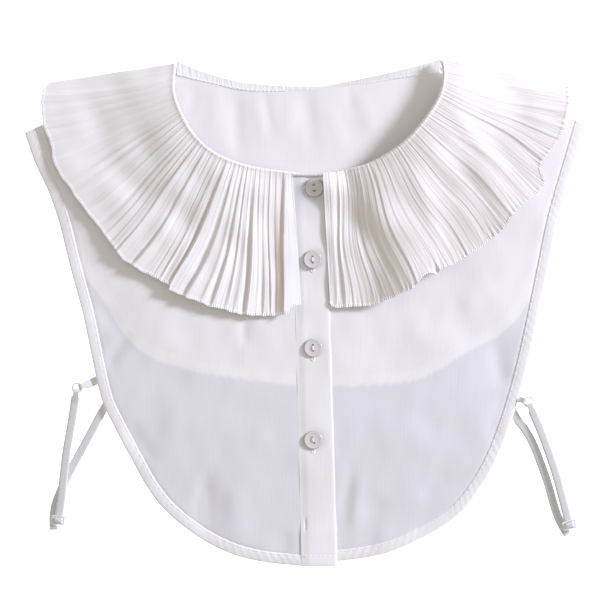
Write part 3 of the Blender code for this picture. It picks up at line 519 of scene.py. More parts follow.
def shell(name, plan, over, surface, *replaced, paint=None, thick=None, **choices):
    """A closed thin cloth whose upper side lies at a height over each plan point."""
    rows, columns = plan.shape[:2]
    thick = thick if thick is not None else sizes().cloth / MM
    over = np.maximum(over, thick)
    bm = bmesh.new()
    cell = grid_cells(bm, rows, columns)
    bmesh.ops.extrude_face_region(bm, geom=bm.faces[:])
    where = {(round(v.co.x, 6), round(v.co.y, 6)): rc for v, rc in cell.items()}
    bm.verts.index_update()
    place = np.array([(*where[round(v.co.x, 6), round(v.co.y, 6)], v not in cell) for v in bm.verts])
    for vert, (r, c, upper) in zip(bm.verts, place):
        vert.co = (*plan[r, c], over[r, c] - (0.0 if upper else thick))
    bmesh.ops.recalc_face_normals(bm, faces=bm.faces)
    mesh = bpy.data.meshes.new(name)
    bm.to_mesh(mesh)
    bm.free()
    points = np.empty(len(mesh.vertices) * 3, np.float32)
    mesh.vertices.foreach_get("co", points)
    mesh.vertices.foreach_set("co", placed(points.reshape(-1, 3)).ravel())
    r, c = place[:, 0], place[:, 1]
    for title, values in (paint or {}).items():
        layer = mesh.attributes.new(title, "FLOAT", "POINT")
        layer.data.foreach_set("value", values[r, c].astype(np.float32))
    return finish_piece(name, mesh, surface, *replaced, **choices)


def swept(bm, sections, closed=False, run=None):
    """A closed bar through a row of cross-sections with the same number of points."""
    sections = np.asarray(sections, float)
    count, sides = sections.shape[:2]
    cell = grid_cells(bm, count + closed, sides + 1)
    layer = bm.verts.layers.float.get("run")
    for vert, (r, c) in cell.items():
        vert.co = sections[r % count, c % sides]
        if layer and run is not None:
            vert[layer] = run[r % count]
    bmesh.ops.remove_doubles(bm, verts=list(cell), dist=1e-5)
    rims = [edge for edge in bm.edges if edge.is_boundary]
    if rims:
        bmesh.ops.holes_fill(bm, edges=rims, sides=0)


def tube_sections(path, wide, high=None, sides=8, closed=False):
    """Round cross-sections along a path; wide and high are its half width and half height."""
    path = np.asarray(path, float)
    ahead = np.roll(path, -1, 0) - np.roll(path, 1, 0) if closed else np.gradient(path, axis=0)
    ahead /= np.linalg.norm(ahead, axis=1, keepdims=True)
    side = np.cross(ahead, (0.0, 0.0, 1.0))
    side /= np.linalg.norm(side, axis=1, keepdims=True)
    up = np.cross(side, ahead)
    a = 2 * np.pi * np.arange(sides) / sides
    wide = np.broadcast_to(np.asarray(wide, float), len(path))[:, None, None]
    high = wide if high is None else np.broadcast_to(np.asarray(high, float), len(path))[:, None, None]
    return (path[:, None] + wide * side[:, None] * np.cos(a)[None, :, None]
            + high * up[:, None] * np.sin(a)[None, :, None])


# Shader maths


class Value:
    """A shader value: arithmetic on it adds Math nodes."""

    def __init__(self, look, socket):
        self.look = look
        self.socket = socket

    def math(self, operation, *others):
        return self.look.node("ShaderNodeMath", {"operation": operation}, self, *others)

    def __add__(self, other):
        return self.math("ADD", other)

    def __sub__(self, other):
        return self.math("SUBTRACT", other)

    def __mul__(self, other):
        return self.math("MULTIPLY", other)

    def __rsub__(self, other):
        return self.look.node("ShaderNodeMath", {"operation": "SUBTRACT"}, other, self)

    __radd__ = __add__
    __rmul__ = __mul__


class Look:
    """A material under construction round one Principled BSDF."""

    def __init__(self, name, **constants):
        self.material = bpy.data.materials.new(name)
        self.material.use_nodes = True
        self.tree = self.material.node_tree
        self.shader = self.tree.nodes["Principled BSDF"]
        for title, value in constants.items():
            self.shader.inputs[title.replace("_", " ")].default_value = value

    def node(self, kind, settings=None, *values, out=0, **named):
        """Adds a node: its settings first, then the values or links of its sockets."""
        made = self.tree.nodes.new(kind)
        for title, value in (settings or {}).items():
            if title == "stops":
                for _ in range(len(value) - 2):
                    made.color_ramp.elements.new(0.5)
                for element, (position, colour) in zip(made.color_ramp.elements, value):
                    element.position = position
                    element.color = colour
            else:
                setattr(made, title, value)
        pairs = list(enumerate(values))
        pairs += [(title.replace("_", " "), value) for title, value in named.items()]
        for key, value in pairs:
            if value is None:
                continue
            if isinstance(value, Value):
                self.tree.links.new(value.socket, made.inputs[key])
            else:
                made.inputs[key].default_value = value
        return Value(self, made.outputs[out])

    def painted(self, title):
        """A value painted on the piece's points."""
        return self.node("ShaderNodeAttribute", {"attribute_name": title}, out=2)

    def here(self):
        """The place on the piece, in the model's metres."""
        return self.node("ShaderNodeTexCoord", out=3)

    def noise(self, where, scale, detail=2.0, stretch=None):
        """Soft noise, stretched by a factor along each axis."""
        if stretch:
            where = self.node("ShaderNodeMapping", {"vector_type": "POINT"}, where, Scale=stretch)
        return self.node("ShaderNodeTexNoise", None, Vector=where, Scale=scale, Detail=detail)

    def mix(self, share, one, two, blend="MIX"):
        """A colour between two, or one colour laid on another."""
        made = self.tree.nodes.new("ShaderNodeMix")
        made.data_type = "RGBA"
        made.blend_type = blend
        for key, value in ((0, share), (6, one), (7, two)):
            if isinstance(value, Value):
                self.tree.links.new(value.socket, made.inputs[key])
            else:
                made.inputs[key].default_value = value
        return Value(self, made.outputs[2])

    def feed(self, **links):
        for title, value in links.items():
            self.tree.links.new(value.socket, self.shader.inputs[title.replace("_", " ")])
        return self.material

    def bump(self, height, depth, strength=1.0, under=None):
        """A normal from a height between 0 and 1 that stands for a depth in metres."""
        return self.node(
            "ShaderNodeBump", None, Strength=strength, Distance=depth, Height=height, Normal=under)


def weave_height(look, where, pitch):
    """Relief of a plain weave: crossing yarns, a pitch apart."""
    x = look.node("ShaderNodeSeparateXYZ", None, where, out=0)
    y = look.node("ShaderNodeSeparateXYZ", None, where, out=1)
    turns = math.pi / pitch
    warp = (x * turns).math("SINE").math("ABSOLUTE")
    weft = (y * turns).math("SINE").math("ABSOLUTE")
    return (warp + weft) * 0.5


def grey(value):
    return (value, value, value, 1.0)


def cloth_look(name, colour):
    """Thin woven cloth, lighter where layers lie together, with faint lengthwise streaks; a low layers
    value also paints shade.
    """
    look = Look(name, Roughness=0.72, Sheen_Weight=0.18, Sheen_Roughness=0.5, Specular_IOR_Level=0.25)
    where = look.here()
    layers = look.painted("layers")
    base = look.mix(layers, tuple(colours().single), tuple(colour))
    streaks = look.noise(where, 900.0, 3.0, (1.0, 0.06, 1.0))
    cloudy = look.noise(where, 38.0, 3.0)
    shade = look.node(
        "ShaderNodeMapRange", None, streaks * 0.6 + cloudy * 0.4, 0.3, 0.7, 0.968, 1.0)
    tint = look.mix(1.0, base, look.mix(shade, grey(0.0), grey(1.0)), "MULTIPLY")
    rough = look.node("ShaderNodeMapRange", None, cloudy, 0.3, 0.7, 0.66, 0.8)
    yarns = look.bump(weave_height(look, where, sizes().weave), 0.05 * MM, 0.5)
    surface = look.bump(streaks, 0.08 * MM, 0.6, yarns)
    return look.feed(Base_Color=tint, Roughness=rough, Normal=surface)


def pleat_look(name):
    """The ruffle's cloth: whiter on pressed folds, partly a painted highlight, and in its troughs a warmer,
    duller painted shade.
    """
    look = Look(
        name, Roughness=0.62, Sheen_Weight=0.2, Sheen_Roughness=0.45, Specular_IOR_Level=0.3,
        Sheen_Tint=(1.0, 0.98, 0.95, 1.0))
    where = look.here()
    # Painted shade: where trough is high the cloth leans to the trough colour
    face = look.mix(look.painted("trough"), tuple(colours().ruffle), tuple(colours().trough))
    # Pressed folds are painted whiter: partly their own whiteness, partly a painted highlight
    base = look.mix(look.painted("crest"), face, tuple(colours().fold))
    cloudy = look.noise(where, 60.0, 3.0)
    fine = look.noise(where, 1400.0, 2.0)
    lengthwise = look.node(
        "ShaderNodeCombineXYZ", None, look.painted("across"), look.painted("down") * 0.045)
    lines = look.noise(lengthwise, 0.8, 3.0)
    mottle = fine * 0.3 + cloudy * 0.3 + lines * 0.4
    shade = look.node("ShaderNodeMapRange", None, mottle, 0.35, 0.65, 0.945, 1.0)
    tint = look.mix(1.0, base, look.mix(shade, grey(0.0), grey(1.0)), "MULTIPLY")
    rough = look.node("ShaderNodeMapRange", None, cloudy, 0.3, 0.7, 0.55, 0.7)
    yarns = look.bump(weave_height(look, where, sizes().weave), 0.04 * MM, 0.5)
    edge = look.node("ShaderNodeMath", {"operation": "SINE"}, look.painted("ticks"))
    ticks = edge * look.painted("border")
    pressed = look.bump(lines * (1.0 - look.painted("plain")), 0.5 * MM, 0.75, yarns)
    surface = look.bump(ticks, 0.12 * MM, 0.8, pressed)
    return look.feed(Base_Color=tint, Roughness=rough, Normal=surface)


def thread_look():
    """Twisted sewing thread."""
    look = Look("thread", Roughness=0.55, Sheen_Weight=0.1)
    fuzz = look.noise(look.here(), 2500.0, 1.0)
    tint = look.mix(fuzz, tuple(c * 0.93 for c in colours().thread[:3]) + (1.0,), tuple(colours().thread))
    return look.feed(Base_Color=tint, Normal=look.bump(fuzz, 0.06 * MM))


def elastic_look():
    """Ribbed elastic: fine ribs across the strap, along its painted length."""
    look = Look("elastic", Roughness=0.7, Sheen_Weight=0.12)
    ribs = (look.painted("run") * (2 * math.pi * MM / sizes().ribs)).math("SINE") * 0.5 + 0.5
    grain = look.noise(look.here(), 1800.0, 2.0)
    share = ribs * 0.6 + grain * 0.4
    dull = tuple(c * 0.86 for c in colours().elastic[:3]) + (1.0,)
    tint = look.mix(share, dull, tuple(colours().elastic))
    return look.feed(Base_Color=tint, Normal=look.bump(share, 0.14 * MM, 0.9))


def button_look():
    """Pearly resin, glossy, with faint swirls and a painted shade on its outer wall."""
    look = Look("button", Roughness=0.16, Specular_IOR_Level=0.6, Coat_Weight=0.6, Coat_Roughness=0.06)
    swirl = look.noise(look.here(), 260.0, 3.0, (1.0, 0.5, 1.0))
    face = look.mix(swirl, tuple(c * 0.9 for c in colours().button[:3]) + (1.0,), tuple(colours().button))
    # Painted shade: the button's marked outer wall is painted darker
    tint = look.mix(look.painted("rim"), face, tuple(c * 0.42 for c in colours().button[:3]) + (1.0,))
    rough = look.node("ShaderNodeMapRange", None, swirl, 0.3, 0.7, 0.12, 0.24)
    return look.feed(Base_Color=tint, Roughness=rough)


def fitting_look():
    """Nylon-coated fittings, milky and slightly glossy."""
    look = Look("fitting", Roughness=0.3, Specular_IOR_Level=0.5, Coat_Weight=0.3, Coat_Roughness=0.15)
    worn = look.noise(look.here(), 700.0, 2.0)
    tint = look.mix(worn, tuple(c * 0.95 for c in colours().fitting[:3]) + (1.0,), tuple(colours().fitting))
    return look.feed(Base_Color=tint, Normal=look.bump(worn, 0.03 * MM, 0.4))


# Fronts, back and placket

# Relief of a turned hem: distance outwards from its inner edge, height over the panel
HEM_RELIEF = [
    (-2.6, 0.0), (-1.7, -0.02), (-1.1, -0.07), (-0.6, -0.16), (-0.2, -0.18), (0.05, 0.0), (0.2, 0.14),
    (0.45, 0.25), (0.75, 0.27), (1.0, 0.23), (1.3, 0.26), (1.9, 0.38), (3.0, 0.44), (4.4, 0.43),
    (5.6, 0.4), (6.2, 0.34), (6.6, 0.22), (6.85, 0.04), (7.0, -0.16),
]
STITCH_INSET = 1.0
# The seam allowance of one panel's end eases into the hem's corner within this distance
CORNER = 12.0


def neck_stretch(start, side, count):
    """The front's neck edge from a distance across to the neck point on one side."""
    part = NECK[NECK[:, 0] * side > start * side]
    outward = moved_left(part, -(NECK_EDGE_WIDTH + SEAM))
    return along(outward if side > 0 else outward[::-1], np.linspace(0.0, 1.0, count))


def inside_line(near, far, distance):
    """A line at a distance inside the hem's edge, its ends on the panel's two ends."""
    line = moved_left(far, distance)
    run = run_length(far)
    for end, gone in ((0, run), (-1, run[-1] - run)):
        gap = near[end] - far[end]
        target = far[end] + gap * abs(distance) / np.linalg.norm(gap)
        line = line + (target - line[end]) * fall(gone, 0.0, CORNER)[:, None]
    return line


def hem_stretch(points, distance, lie):
    """Puckers of a stitched hem: short slanting ridges, uneven along the edge."""
    run = run_length(points)
    slant = run + 0.8 * distance
    uneven = 0.5 + 0.5 * np.sin(slant / 23.0 + lie) * np.sin(slant / 9.1 + 2 * lie)
    return 0.24 * uneven * np.sin(2 * np.pi * slant / 5.3 + 2.0 * np.sin(slant / 17.0))


def panel(name, near, far, inward, level, rows, surface, paint, *replaced):
    """A panel from its neck edge to its folded hem. paint gives its painted values."""
    hem = sizes().hem / MM
    relief = np.array(HEM_RELIEF)
    outer = [inside_line(near, far, inward * (hem - d)) for d in relief[:, 0] * hem / 7.0]
    plan = np.concatenate([patch(near, outer[0], np.linspace(0.0, 1.0, rows))[:-1], np.array(outer)])
    over = level(plan) + CLOTH
    for k, (d, high) in enumerate(relief):
        pucker = hem_stretch(far, d, len(name)) * fall(abs(d - 3.2), 2.2, 4.2)
        over[rows - 1 + k] += high + pucker
    band = np.zeros(plan.shape[:2])
    band[rows + 4:] = 1.0
    painted = paint(plan, band)
    return shell(name, plan, over, surface, *replaced, paint=painted)


BACK_HEM = np.concatenate([
    curve(BACK_SIDE_RIGHT, 120)[:-1], curve(BACK_BOTTOM, 200), curve(BACK_SIDE_LEFT, 120)[1:]])


def inside_back(plan):
    """How far each point lies inside the back's hem; outside is negative."""
    apart, place = distance_and_place(plan, BACK_HEM)
    spot = place * (len(BACK_HEM) - 1)
    ahead = tangents(BACK_HEM)
    index = np.arange(len(BACK_HEM))
    near = np.stack([np.interp(spot, index, BACK_HEM[:, k]) for k in range(2)], axis=-1)
    step = np.stack([np.interp(spot, index, ahead[:, k]) for k in range(2)], axis=-1)
    gap = plan - near
    return apart * np.sign(step[..., 0] * gap[..., 1] - step[..., 1] * gap[..., 0])


def front_paint(plan, band):
    """Where the back or the turned hem lies under the front, its cloth looks whiter."""
    inside = inside_back(plan)
    backed = fall(-inside, -0.7, 0.9)
    turned = backed * fall(inside, 6.2, 7.8)
    return {"layers": np.clip(0.78 * backed + 0.22 * turned + 0.9 * band, 0.0, 1.05)}


def full_paint(plan, band):
    return {"layers": 0.86 + 0.14 * band}


FRONT_COLUMNS = 250


def front_edges(side):
    """The neck edge and the hem of one front."""
    meeting = PLACKET_SEAM[0] + CLOTH
    hem = FRONT_RIGHT_HEM if side < 0 else FRONT_LEFT_HEM
    return neck_stretch(meeting + side * SEAM, side, FRONT_COLUMNS), curve(hem, FRONT_COLUMNS)


def back_edges():
    bottom = curve(BACK_BOTTOM, 130)
    far = np.concatenate([curve(BACK_SIDE_RIGHT, 90)[:-1], bottom, curve(BACK_SIDE_LEFT, 90)[1:]])
    return moved_left(lengthened(curve(BACK_SEAM, 300), 2.5, len(far)), 0.5), far


def back_lie(plan):
    """The back's level with its soft creases."""
    soft = 0.12 * waves(plan[..., 0], plan[..., 1], 34.0, 8)
    return back_level(plan) + 0.5 * creased(plan, BACK_CREASES) + soft


def placket_lie(plan):
    """Height of the placket's upper side."""
    under = front_lie(plan) + CLOTH + SEAM - SETTLE
    under += HEM_EXTRA * fall(plan[..., 1], 19.0, 31.0)
    x, y = plan[..., 0], plan[..., 1]
    soft = 0.12 * waves(x, y, 30.0, 11)
    tuck = -0.5 * np.exp(-((x + 4.6) / 0.5) ** 2) * fall(abs(y - 27.0), 2.5, 5.0)
    dip = sum(np.exp(-(np.hypot(x - bx, y - by) / 7.0) ** 4) for bx, by, _ in BUTTONS)
    return under + CLOTH + soft + tuck - BUTTON_DIP * dip


def build_fronts():
    """The two halves of the front."""
    surface = cloth_look("front_cloth", colours().double)
    for name, side in (("front_right", -1), ("front_left", 1)):
        near, far = front_edges(side)
        piece = panel(f"{name}_cloth", near, far, side, front_lie, 104, surface, front_paint, name)


def build_back():
    """The back panel."""
    near, far = back_edges()
    surface = cloth_look("back_cloth_look", colours().double)
    piece = panel("back_cloth", near, far, 1, back_lie, 60, surface, full_paint, "back")


def build_placket():
    """The strip over the centre front, its fold at the wearer's left."""
    top = CENTRE_NECK - NECK_EDGE_WIDTH + 0.3
    edge = np.array([0.0, 0.012, 0.03, 0.06])
    across = np.concatenate([edge, np.linspace(0.1, 0.9, 26), 1 - edge[::-1]])
    up = np.concatenate([[0.0, 0.15, 0.4, 0.9], np.linspace(1.6, top - 0.4, 190), [top]])
    plan = np.zeros((len(up), len(across), 2))
    plan[..., 1] = up[:, None]
    left = placket_side(plan, PLACKET_SEAM)
    plan[..., 0] = left + (placket_side(plan, PLACKET_FOLD) - left) * across[None]
    over = placket_lie(plan)
    width = placket_side(plan, PLACKET_FOLD) - left
    from_seam, from_fold = across[None] * width, (1 - across[None]) * width
    over -= 0.5 * fall(from_seam, 0.0, 6.0)
    over -= 0.25 * fall(from_fold, 0.0, 1.6) + 0.25 * fall(from_fold, 0.0, 0.6)
    over -= 0.4 * fall(plan[..., 1], 0.0, 0.6)
    over -= 0.16 * np.exp(-((plan[..., 1] - 6.6) / 0.5) ** 2)
    # Painted shade: the placket's top is painted darker, leaning to the single cloth's colour
    paint = {"layers": 0.9 - 0.9 * fall(top - plan[..., 1], 6.0, 34.0)}
    surface = cloth_look("placket_cloth_look", colours().double)
    piece = shell("placket_cloth", plan, over, surface, "placket", paint=paint)


# Ruffle


# How much of a pleat's depth shows, by the place on the outer edge in percent
PLEATS_RIGHT = [(0.0, 1.6), (6.0, 1.5), (9.0, 0.75), (35.0, 0.7), (60.0, 0.6), (75.0, 0.45), (100.0, 0.4)]
PLEATS_LEFT = [(0.0, 0.9), (10.0, 0.65), (20.0, 0.4), (40.0, 0.22), (60.0, 0.2), (100.0, 0.17)]
# How far the cloth's colour leans to the troughs' painted shade, by the same place
TROUGH_SHADE_RIGHT = [(0.0, 0.0), (4.8, 0.0), (5.8, 0.9), (8.0, 0.7), (11.0, 0.1), (40.0, 0.1), (100.0, 0.0)]
TROUGH_SHADE_LEFT = [
    (0.0, 0.0), (7.0, 0.1), (11.0, 0.9), (20.0, 1.0), (26.0, 0.85), (40.0, 0.85), (45.0, 1.0), (52.0, 1.0),
    (58.0, 0.75), (100.0, 0.75),
]
# How far the pleats wander sideways on their way out, as a share of the edge
SWAY = {"ruffle_right": 0.006, "ruffle_left": 0.014}
# How deep the outer edge is gathered by its rolled hem
EDGE_GATHER = {"ruffle_right": 0.12, "ruffle_left": 0.26}
# How strong the painted highlight on the broad last fold by the placket is; its lines are smoothed there
# too
LAST_PANEL = {"ruffle_right": 0.9, "ruffle_left": 0.0}
# Where a bit of the outer edge curls out, how far along and how far out
CURL_PLACE = 67.9
CURL = {"ruffle_right": 0.0, "ruffle_left": 2.6}
# How far the pleats' crests stand up where they are sewn to the neck
NECK_PINCH = {"ruffle_right": 0.22, "ruffle_left": 0.13}


def pleat_columns(folds):
    """Columns of the ruffle: neck, middle and edge places, fold level, depth below it, foot."""
    columns = []
    for this, following in zip(folds, folds[1:]):
        here, there = np.array(this[:4]), np.array(following[:4])
        drop, pleats = this[4:]
        for k in range(pleats):
            start = k / pleats
            foot = start + STEEP_SHARE / pleats
            above = drop * (1.0 - start) if k else 0.0
            below = above + FINE_DROP if k else drop
            columns.append((*(here + (there - here) * start), above, 0.0))
            columns.append((*(here + (there - here) * foot), below, 1.0))
    columns.append((*folds[-1][:4], 0.0, 0.0))
    return np.array(columns)


STEEP_STEPS = 4
FACE_STEPS = 8


def fine_columns(columns):
    """The columns filled in between; each pleat's face curves in its own way."""
    rows = []
    for number, (one, two) in enumerate(zip(columns, columns[1:])):
        steep = one[5] < two[5]
        steps = STEEP_STEPS if steep else FACE_STEPS
        power = 1.45 + 0.75 * math.sin(7.3 * number)
        for k in range(steps):
            t = k / steps
            eased = t * t * (3 - 2 * t) if steep else t ** power
            row = one + (two - one) * t
            row[4] = one[4] + (two[4] - one[4]) * eased
            row[5] = eased if steep else 1 - t
            rows.append(row)
    rows.append(columns[-1])
    return np.array(rows)


def ruffle_plan(columns, neck, edge, rows, sway):
    """Plan points of the ruffle, each column wandering from its neck place to its edge place."""
    plan = np.empty((len(rows), len(columns), 2))
    neck_place, middle, edge_place = columns[:, :3].T / 100.0
    inner = fall(abs(edge_place - 0.5), 0.42, 0.5)
    for r, v in enumerate(rows):
        place = (1 - v) * (1 - 2 * v) * neck_place + 4 * v * (1 - v) * middle + v * (2 * v - 1) * edge_place
        bend = math.sin(math.pi * max(v, 0.0)) * waves(edge_place * 10.0, 3.0 * v, 4.0, 6)
        place = place + sway * inner * bend
        plan[r] = (1 - v) * along(neck, place) + v * along(edge, place)
    return plan


# Rows from the lip that rolls over the neck edge to the outer edge
RUFFLE_ROWS = np.concatenate([
    [-0.018, -0.015, -0.010, -0.005], np.linspace(0.0, 0.972, 46), [0.979, 0.985, 0.990, 0.995, 1.0]])
# Height of that lip over the ruffle's start
LIP = [(-0.018, 0.6), (-0.015, 0.68), (-0.010, 0.64), (-0.005, 0.5), (0.0, 0.36), (0.03, 0.0)]
# The thin cloth's outer edge lies this much lower than its solid
DROOP = 0.6
# Share of each fold's lift that the outer edge loses as it sags
SAG = {"ruffle_right": 0.12, "ruffle_left": 0.0}
# Soft hollows and swells across the pleats: two ends, half width, height
RUFFLE_CREASES = [
    (27.0, 238.0, 48.0, 184.0, 8.0, -1.5), (60.0, 262.0, 84.0, 208.0, 5.5, 0.5),
    (66.0, 292.0, 118.0, 232.0, 6.0, -0.9), (84.0, 300.0, 132.0, 246.0, 5.0, 0.6),
    (-30.0, 244.0, -44.0, 178.0, 5.5, 0.45), (-52.0, 240.0, -74.0, 188.0, 6.0, -0.6),
    (-84.0, 262.0, -124.0, 214.0, 7.0, 0.6), (-60.0, 268.0, -96.0, 206.0, 5.0, -0.45),
    (-96.0, 290.0, -152.0, 262.0, 8.0, -0.4),
]


def build_front_ruffle(name, folds, depth, trough_shade, neck, edge, surface):
    """One front stretch: uneven pleats on large folds, lifting towards the outer edge."""
    columns = fine_columns(pleat_columns(folds))
    edge = curve(edge, 600)
    edge = moved_left(edge, 0.35 * waves(run_length(edge), 0.0, 8.0, 5)[:, None])
    plan = ruffle_plan(columns, neck, edge, RUFFLE_ROWS, SWAY[name])
    row = RUFFLE_ROWS[:, None]
    v = np.maximum(row, 0.0)
    place, level, deep, foot = columns.T[2:, None]
    evened = np.convolve(np.pad(level[0], 24, mode="edge"), np.full(49, 1 / 49), "valid")
    own = np.where((name == "ruffle_right") & (place < 9.0), 0.9, 0.45)
    level = own * level + (1.0 - own) * evened
    run = run_length(plan[-1])[None]
    neck_run = run_length(plan[4])[None]
    curl = CURL[name] * np.exp(-((place - CURL_PLACE) / 0.9) ** 2) * fall(1.0 - v, 0.0, 0.05)
    outward = plan[-1] - plan[0]
    plan = plan + curl[..., None] * (outward / np.linalg.norm(outward, axis=1, keepdims=True))[None]
    uneven = waves(place * 0.6, v * 1.7, 2.2, 21 + len(name))
    deep = deep * np.interp(place, *np.array(depth).T) * np.clip(0.85 + 0.6 * uneven, 0.1, 1.6)
    over = front_level(plan) + 2 * CLOTH + over_placket(plan) + RUFFLE_CLEAR
    settled = 1.0 - 0.4 * fall(1.0 - v, 0.0, 0.10)
    over += (level - np.minimum(deep, 0.9 * np.abs(level) + 1.1) * settled) * v ** 0.6
    over += np.interp(row, *np.array(LIP).T) + NECK_PINCH[name] * (1.0 - foot) * (1.0 - v) - DROOP * v
    sagging = fall(place, 78.0, 92.0) * (1.0 - fall(place, 5.0, 9.0))
    over -= SAG[name] * np.maximum(level - 0.8, 0.0) * v ** 2.5 * sagging
    over += creased(plan, RUFFLE_CREASES) * np.sin(np.pi * v) ** 0.7
    over += 0.5 * waves(plan[..., 0], plan[..., 1], 30.0, 14) * np.sin(np.pi * v)
    near_neck = np.exp(-(v / 0.24) ** 1.6) * (0.55 + 0.45 * uneven)
    over += 0.09 * np.sin(2 * np.pi * neck_run / 2.0 + 2.0 * np.sin(neck_run / 6.0)) * near_neck
    near_edge = np.exp(-(1.0 - v) / 0.055) * np.clip(0.6 + 0.6 * waves(run, 0.0, 14.0, 31), 0.0, 1.4)
    gathered = np.sin(2 * np.pi * run / 3.3 + 1.8 * np.sin(run / 7.0) - 6.0 * v)
    over += EDGE_GATHER[name] * gathered * near_edge
    over += standing(name, v, place) - 0.7 * curl
    border = np.clip((v - 0.979) / 0.006, 0.0, 1.0)
    over += 0.2 * border + 0.1 * border * np.sin(2 * np.pi * run / 1.5)
    flat = np.ones(over.shape)
    # Painted highlight on the pleats' crests, the rolled edge and the broad last fold, partly their own
    # whiteness
    crest = np.clip(1.0 - foot * 1.8, 0.0, 1.0) ** 2 * np.clip(0.5 + 0.5 * uneven, 0.0, 1.0)
    plain = LAST_PANEL[name] * fall(place, 3.8, 5.2) * (1.0 - fall(v, 0.3, 0.6))
    crest = np.maximum(crest, plain)
    # Painted shade: trough is stronger at the deep feet of the pleats and at the listed places
    paint = {
        "crest": np.maximum(crest, 0.6 * border) * flat,
        "trough": np.clip(deep * foot / 2.2 + np.interp(place, *np.array(trough_shade).T), 0.0, 1.0) * flat,
        "border": border * flat,
        "plain": plain * flat,
        "ticks": 2 * np.pi * run / 1.5 * flat,
        "across": run * flat,
        "down": 90.0 * v * flat,
    }
    piece = shell(f"{name}_cloth", plan, over, surface, name, paint=paint, thick=0.4, smooth=55.0)
    return piece


def standing(name, v, place):
    """Where the left stretch begins it stands up near the neck and hugs the placket below."""
    if name == "ruffle_right":
        return 0.0
    start = 1.0 - place / 100.0
    hugging = 1.1 * fall(start, 0.0, 0.06) * (1.0 - fall(v, 0.15, 0.45))
    return 5.0 * np.exp(-((v - 0.02) / 0.14) ** 2) * fall(start, 0.0, 0.10) - hugging


def build_front_ruffles():
    """The folds' steep sides face -X on both stretches, so one stretch runs the other way."""
    surface = pleat_look("ruffle_cloth_look")
    right_neck = neck_stretch(RUFFLE_RIGHT_START, -1, 400)
    left_neck = neck_stretch(RUFFLE_LEFT_START, 1, 400)
    build_front_ruffle(
        "ruffle_right", RUFFLE_RIGHT_FOLDS, PLEATS_RIGHT, TROUGH_SHADE_RIGHT, right_neck, RUFFLE_RIGHT_EDGE,
        surface)
    turned = [(*row[:5], before[5]) for row, before in zip(RUFFLE_LEFT_FOLDS[1:], RUFFLE_LEFT_FOLDS)][::-1]
    turned.append((*RUFFLE_LEFT_FOLDS[0][:5], 0))
    turned = [(100.0 - n, 100.0 - m, 100.0 - e, h, d, p) for n, m, e, h, d, p in turned]
    depth = [(100.0 - place, share) for place, share in PLEATS_LEFT][::-1]
    trough_shade = [(100.0 - place, share) for place, share in TROUGH_SHADE_LEFT][::-1]
    build_front_ruffle("ruffle_left", turned, depth, trough_shade, left_neck[::-1], RUFFLE_LEFT_EDGE[::-1], surface)


def build_back_ruffle():
    """The back stretch, pleated above and flat below where it rests."""
    steps = 8
    count = RUFFLE_BACK_PLEATS * steps
    t = (np.arange(count + 1) % steps) / steps
    foot = np.where(t < STEEP_SHARE, t / STEEP_SHARE, 1 - (t - STEEP_SHARE) / (1 - STEEP_SHARE))
    share = np.arange(count + 1) / count
    neck = along(moved_left(BACK_NECK, -1.0), share)
    edge = along(curve(RUFFLE_BACK_EDGE, 300), share)
    v = np.concatenate([np.linspace(0.0, 0.97, 18), [0.98, 0.99, 1.0]])[:, None]
    plan = (1 - v[..., None]) * neck[None] + v[..., None] * edge[None]
    over = CLOTH + RUFFLE_BACK_PLEAT * (0.55 + 0.45 * v) * (1.0 - foot[None])
    flat = np.ones(plan.shape[:2])
    # The crests are painted whiter: partly pressed whiteness, partly a painted highlight
    paint = {
        "crest": (1.0 - foot)[None] ** 3 * flat, "trough": 0.0 * flat, "border": 0.0 * flat,
        "ticks": 0.0 * flat, "across": run_length(edge)[None] * flat, "down": 85.0 * v * flat,
    }
    piece = shell("ruffle_back_cloth", plan, over, bpy.data.materials["ruffle_cloth_look"], "ruffle_back",
                  paint=paint, thick=CLOTH)


# Neck


def build_neck_stand():
    """The ruffle's gathered heading, which stands inside the back neck."""
    steps = 8
    count = STAND_GATHERS * steps + 1
    seam, fold = lengthened(curve(BACK_SEAM, 300), 3.0, count), lengthened(BACK_NECK, 2.6, count)
    v = np.concatenate([[0.0, 0.02, 0.05, 0.09, 0.14], np.linspace(0.2, 0.9, 12), [0.95, 0.98, 1.0]])
    v = v[:, None]
    plan = (1 - v[..., None]) * seam[None] + v[..., None] * fold[None]
    turn = 2 * np.pi * np.arange(count)[None] / steps
    uneven = 1.0 + 0.5 * np.sin(turn * 0.137 + 1.0)
    share = np.arange(count)[None] / count
    calm = 0.25 + 0.75 * fall(share, 0.45, 0.6)
    crinkle = 0.25 * STAND_CRINKLE * (0.5 - 0.5 * np.cos(turn + 1.2 * np.sin(turn * 0.21))) * uneven * calm
    rise = STAND_RISE * (0.06 + 0.5 * (1.0 - fall(share, 0.5, 0.8)))
    over = back_level(plan) + CLOTH + rise * v + crinkle * (0.35 + 0.65 * v)
    seamed = 1.0 - fall(abs(share - 0.52), 0.1, 0.22)
    over += (0.8 * seamed - 0.5) * np.exp(-((v - 0.06) / 0.08) ** 2) - 0.4 * fall(1 - v, 0.0, 0.05)
    flat = np.zeros(plan.shape[:2])
    # The heading's left part is painted whiter: a painted highlight
    paint = {
        "crest": flat + 0.95 * fall(share, 0.25, 0.5), "trough": flat, "border": flat + (v > 0.94),
        "down": flat + 10.0 * v,
        "ticks": flat + 2 * np.pi * run_length(fold)[None] / 1.6, "across": flat + run_length(fold)[None],
    }
    surface = bpy.data.materials["ruffle_cloth_look"]
    piece = shell("back_neck_stand_cloth", plan, over, surface, "back_neck_stand", paint=paint)


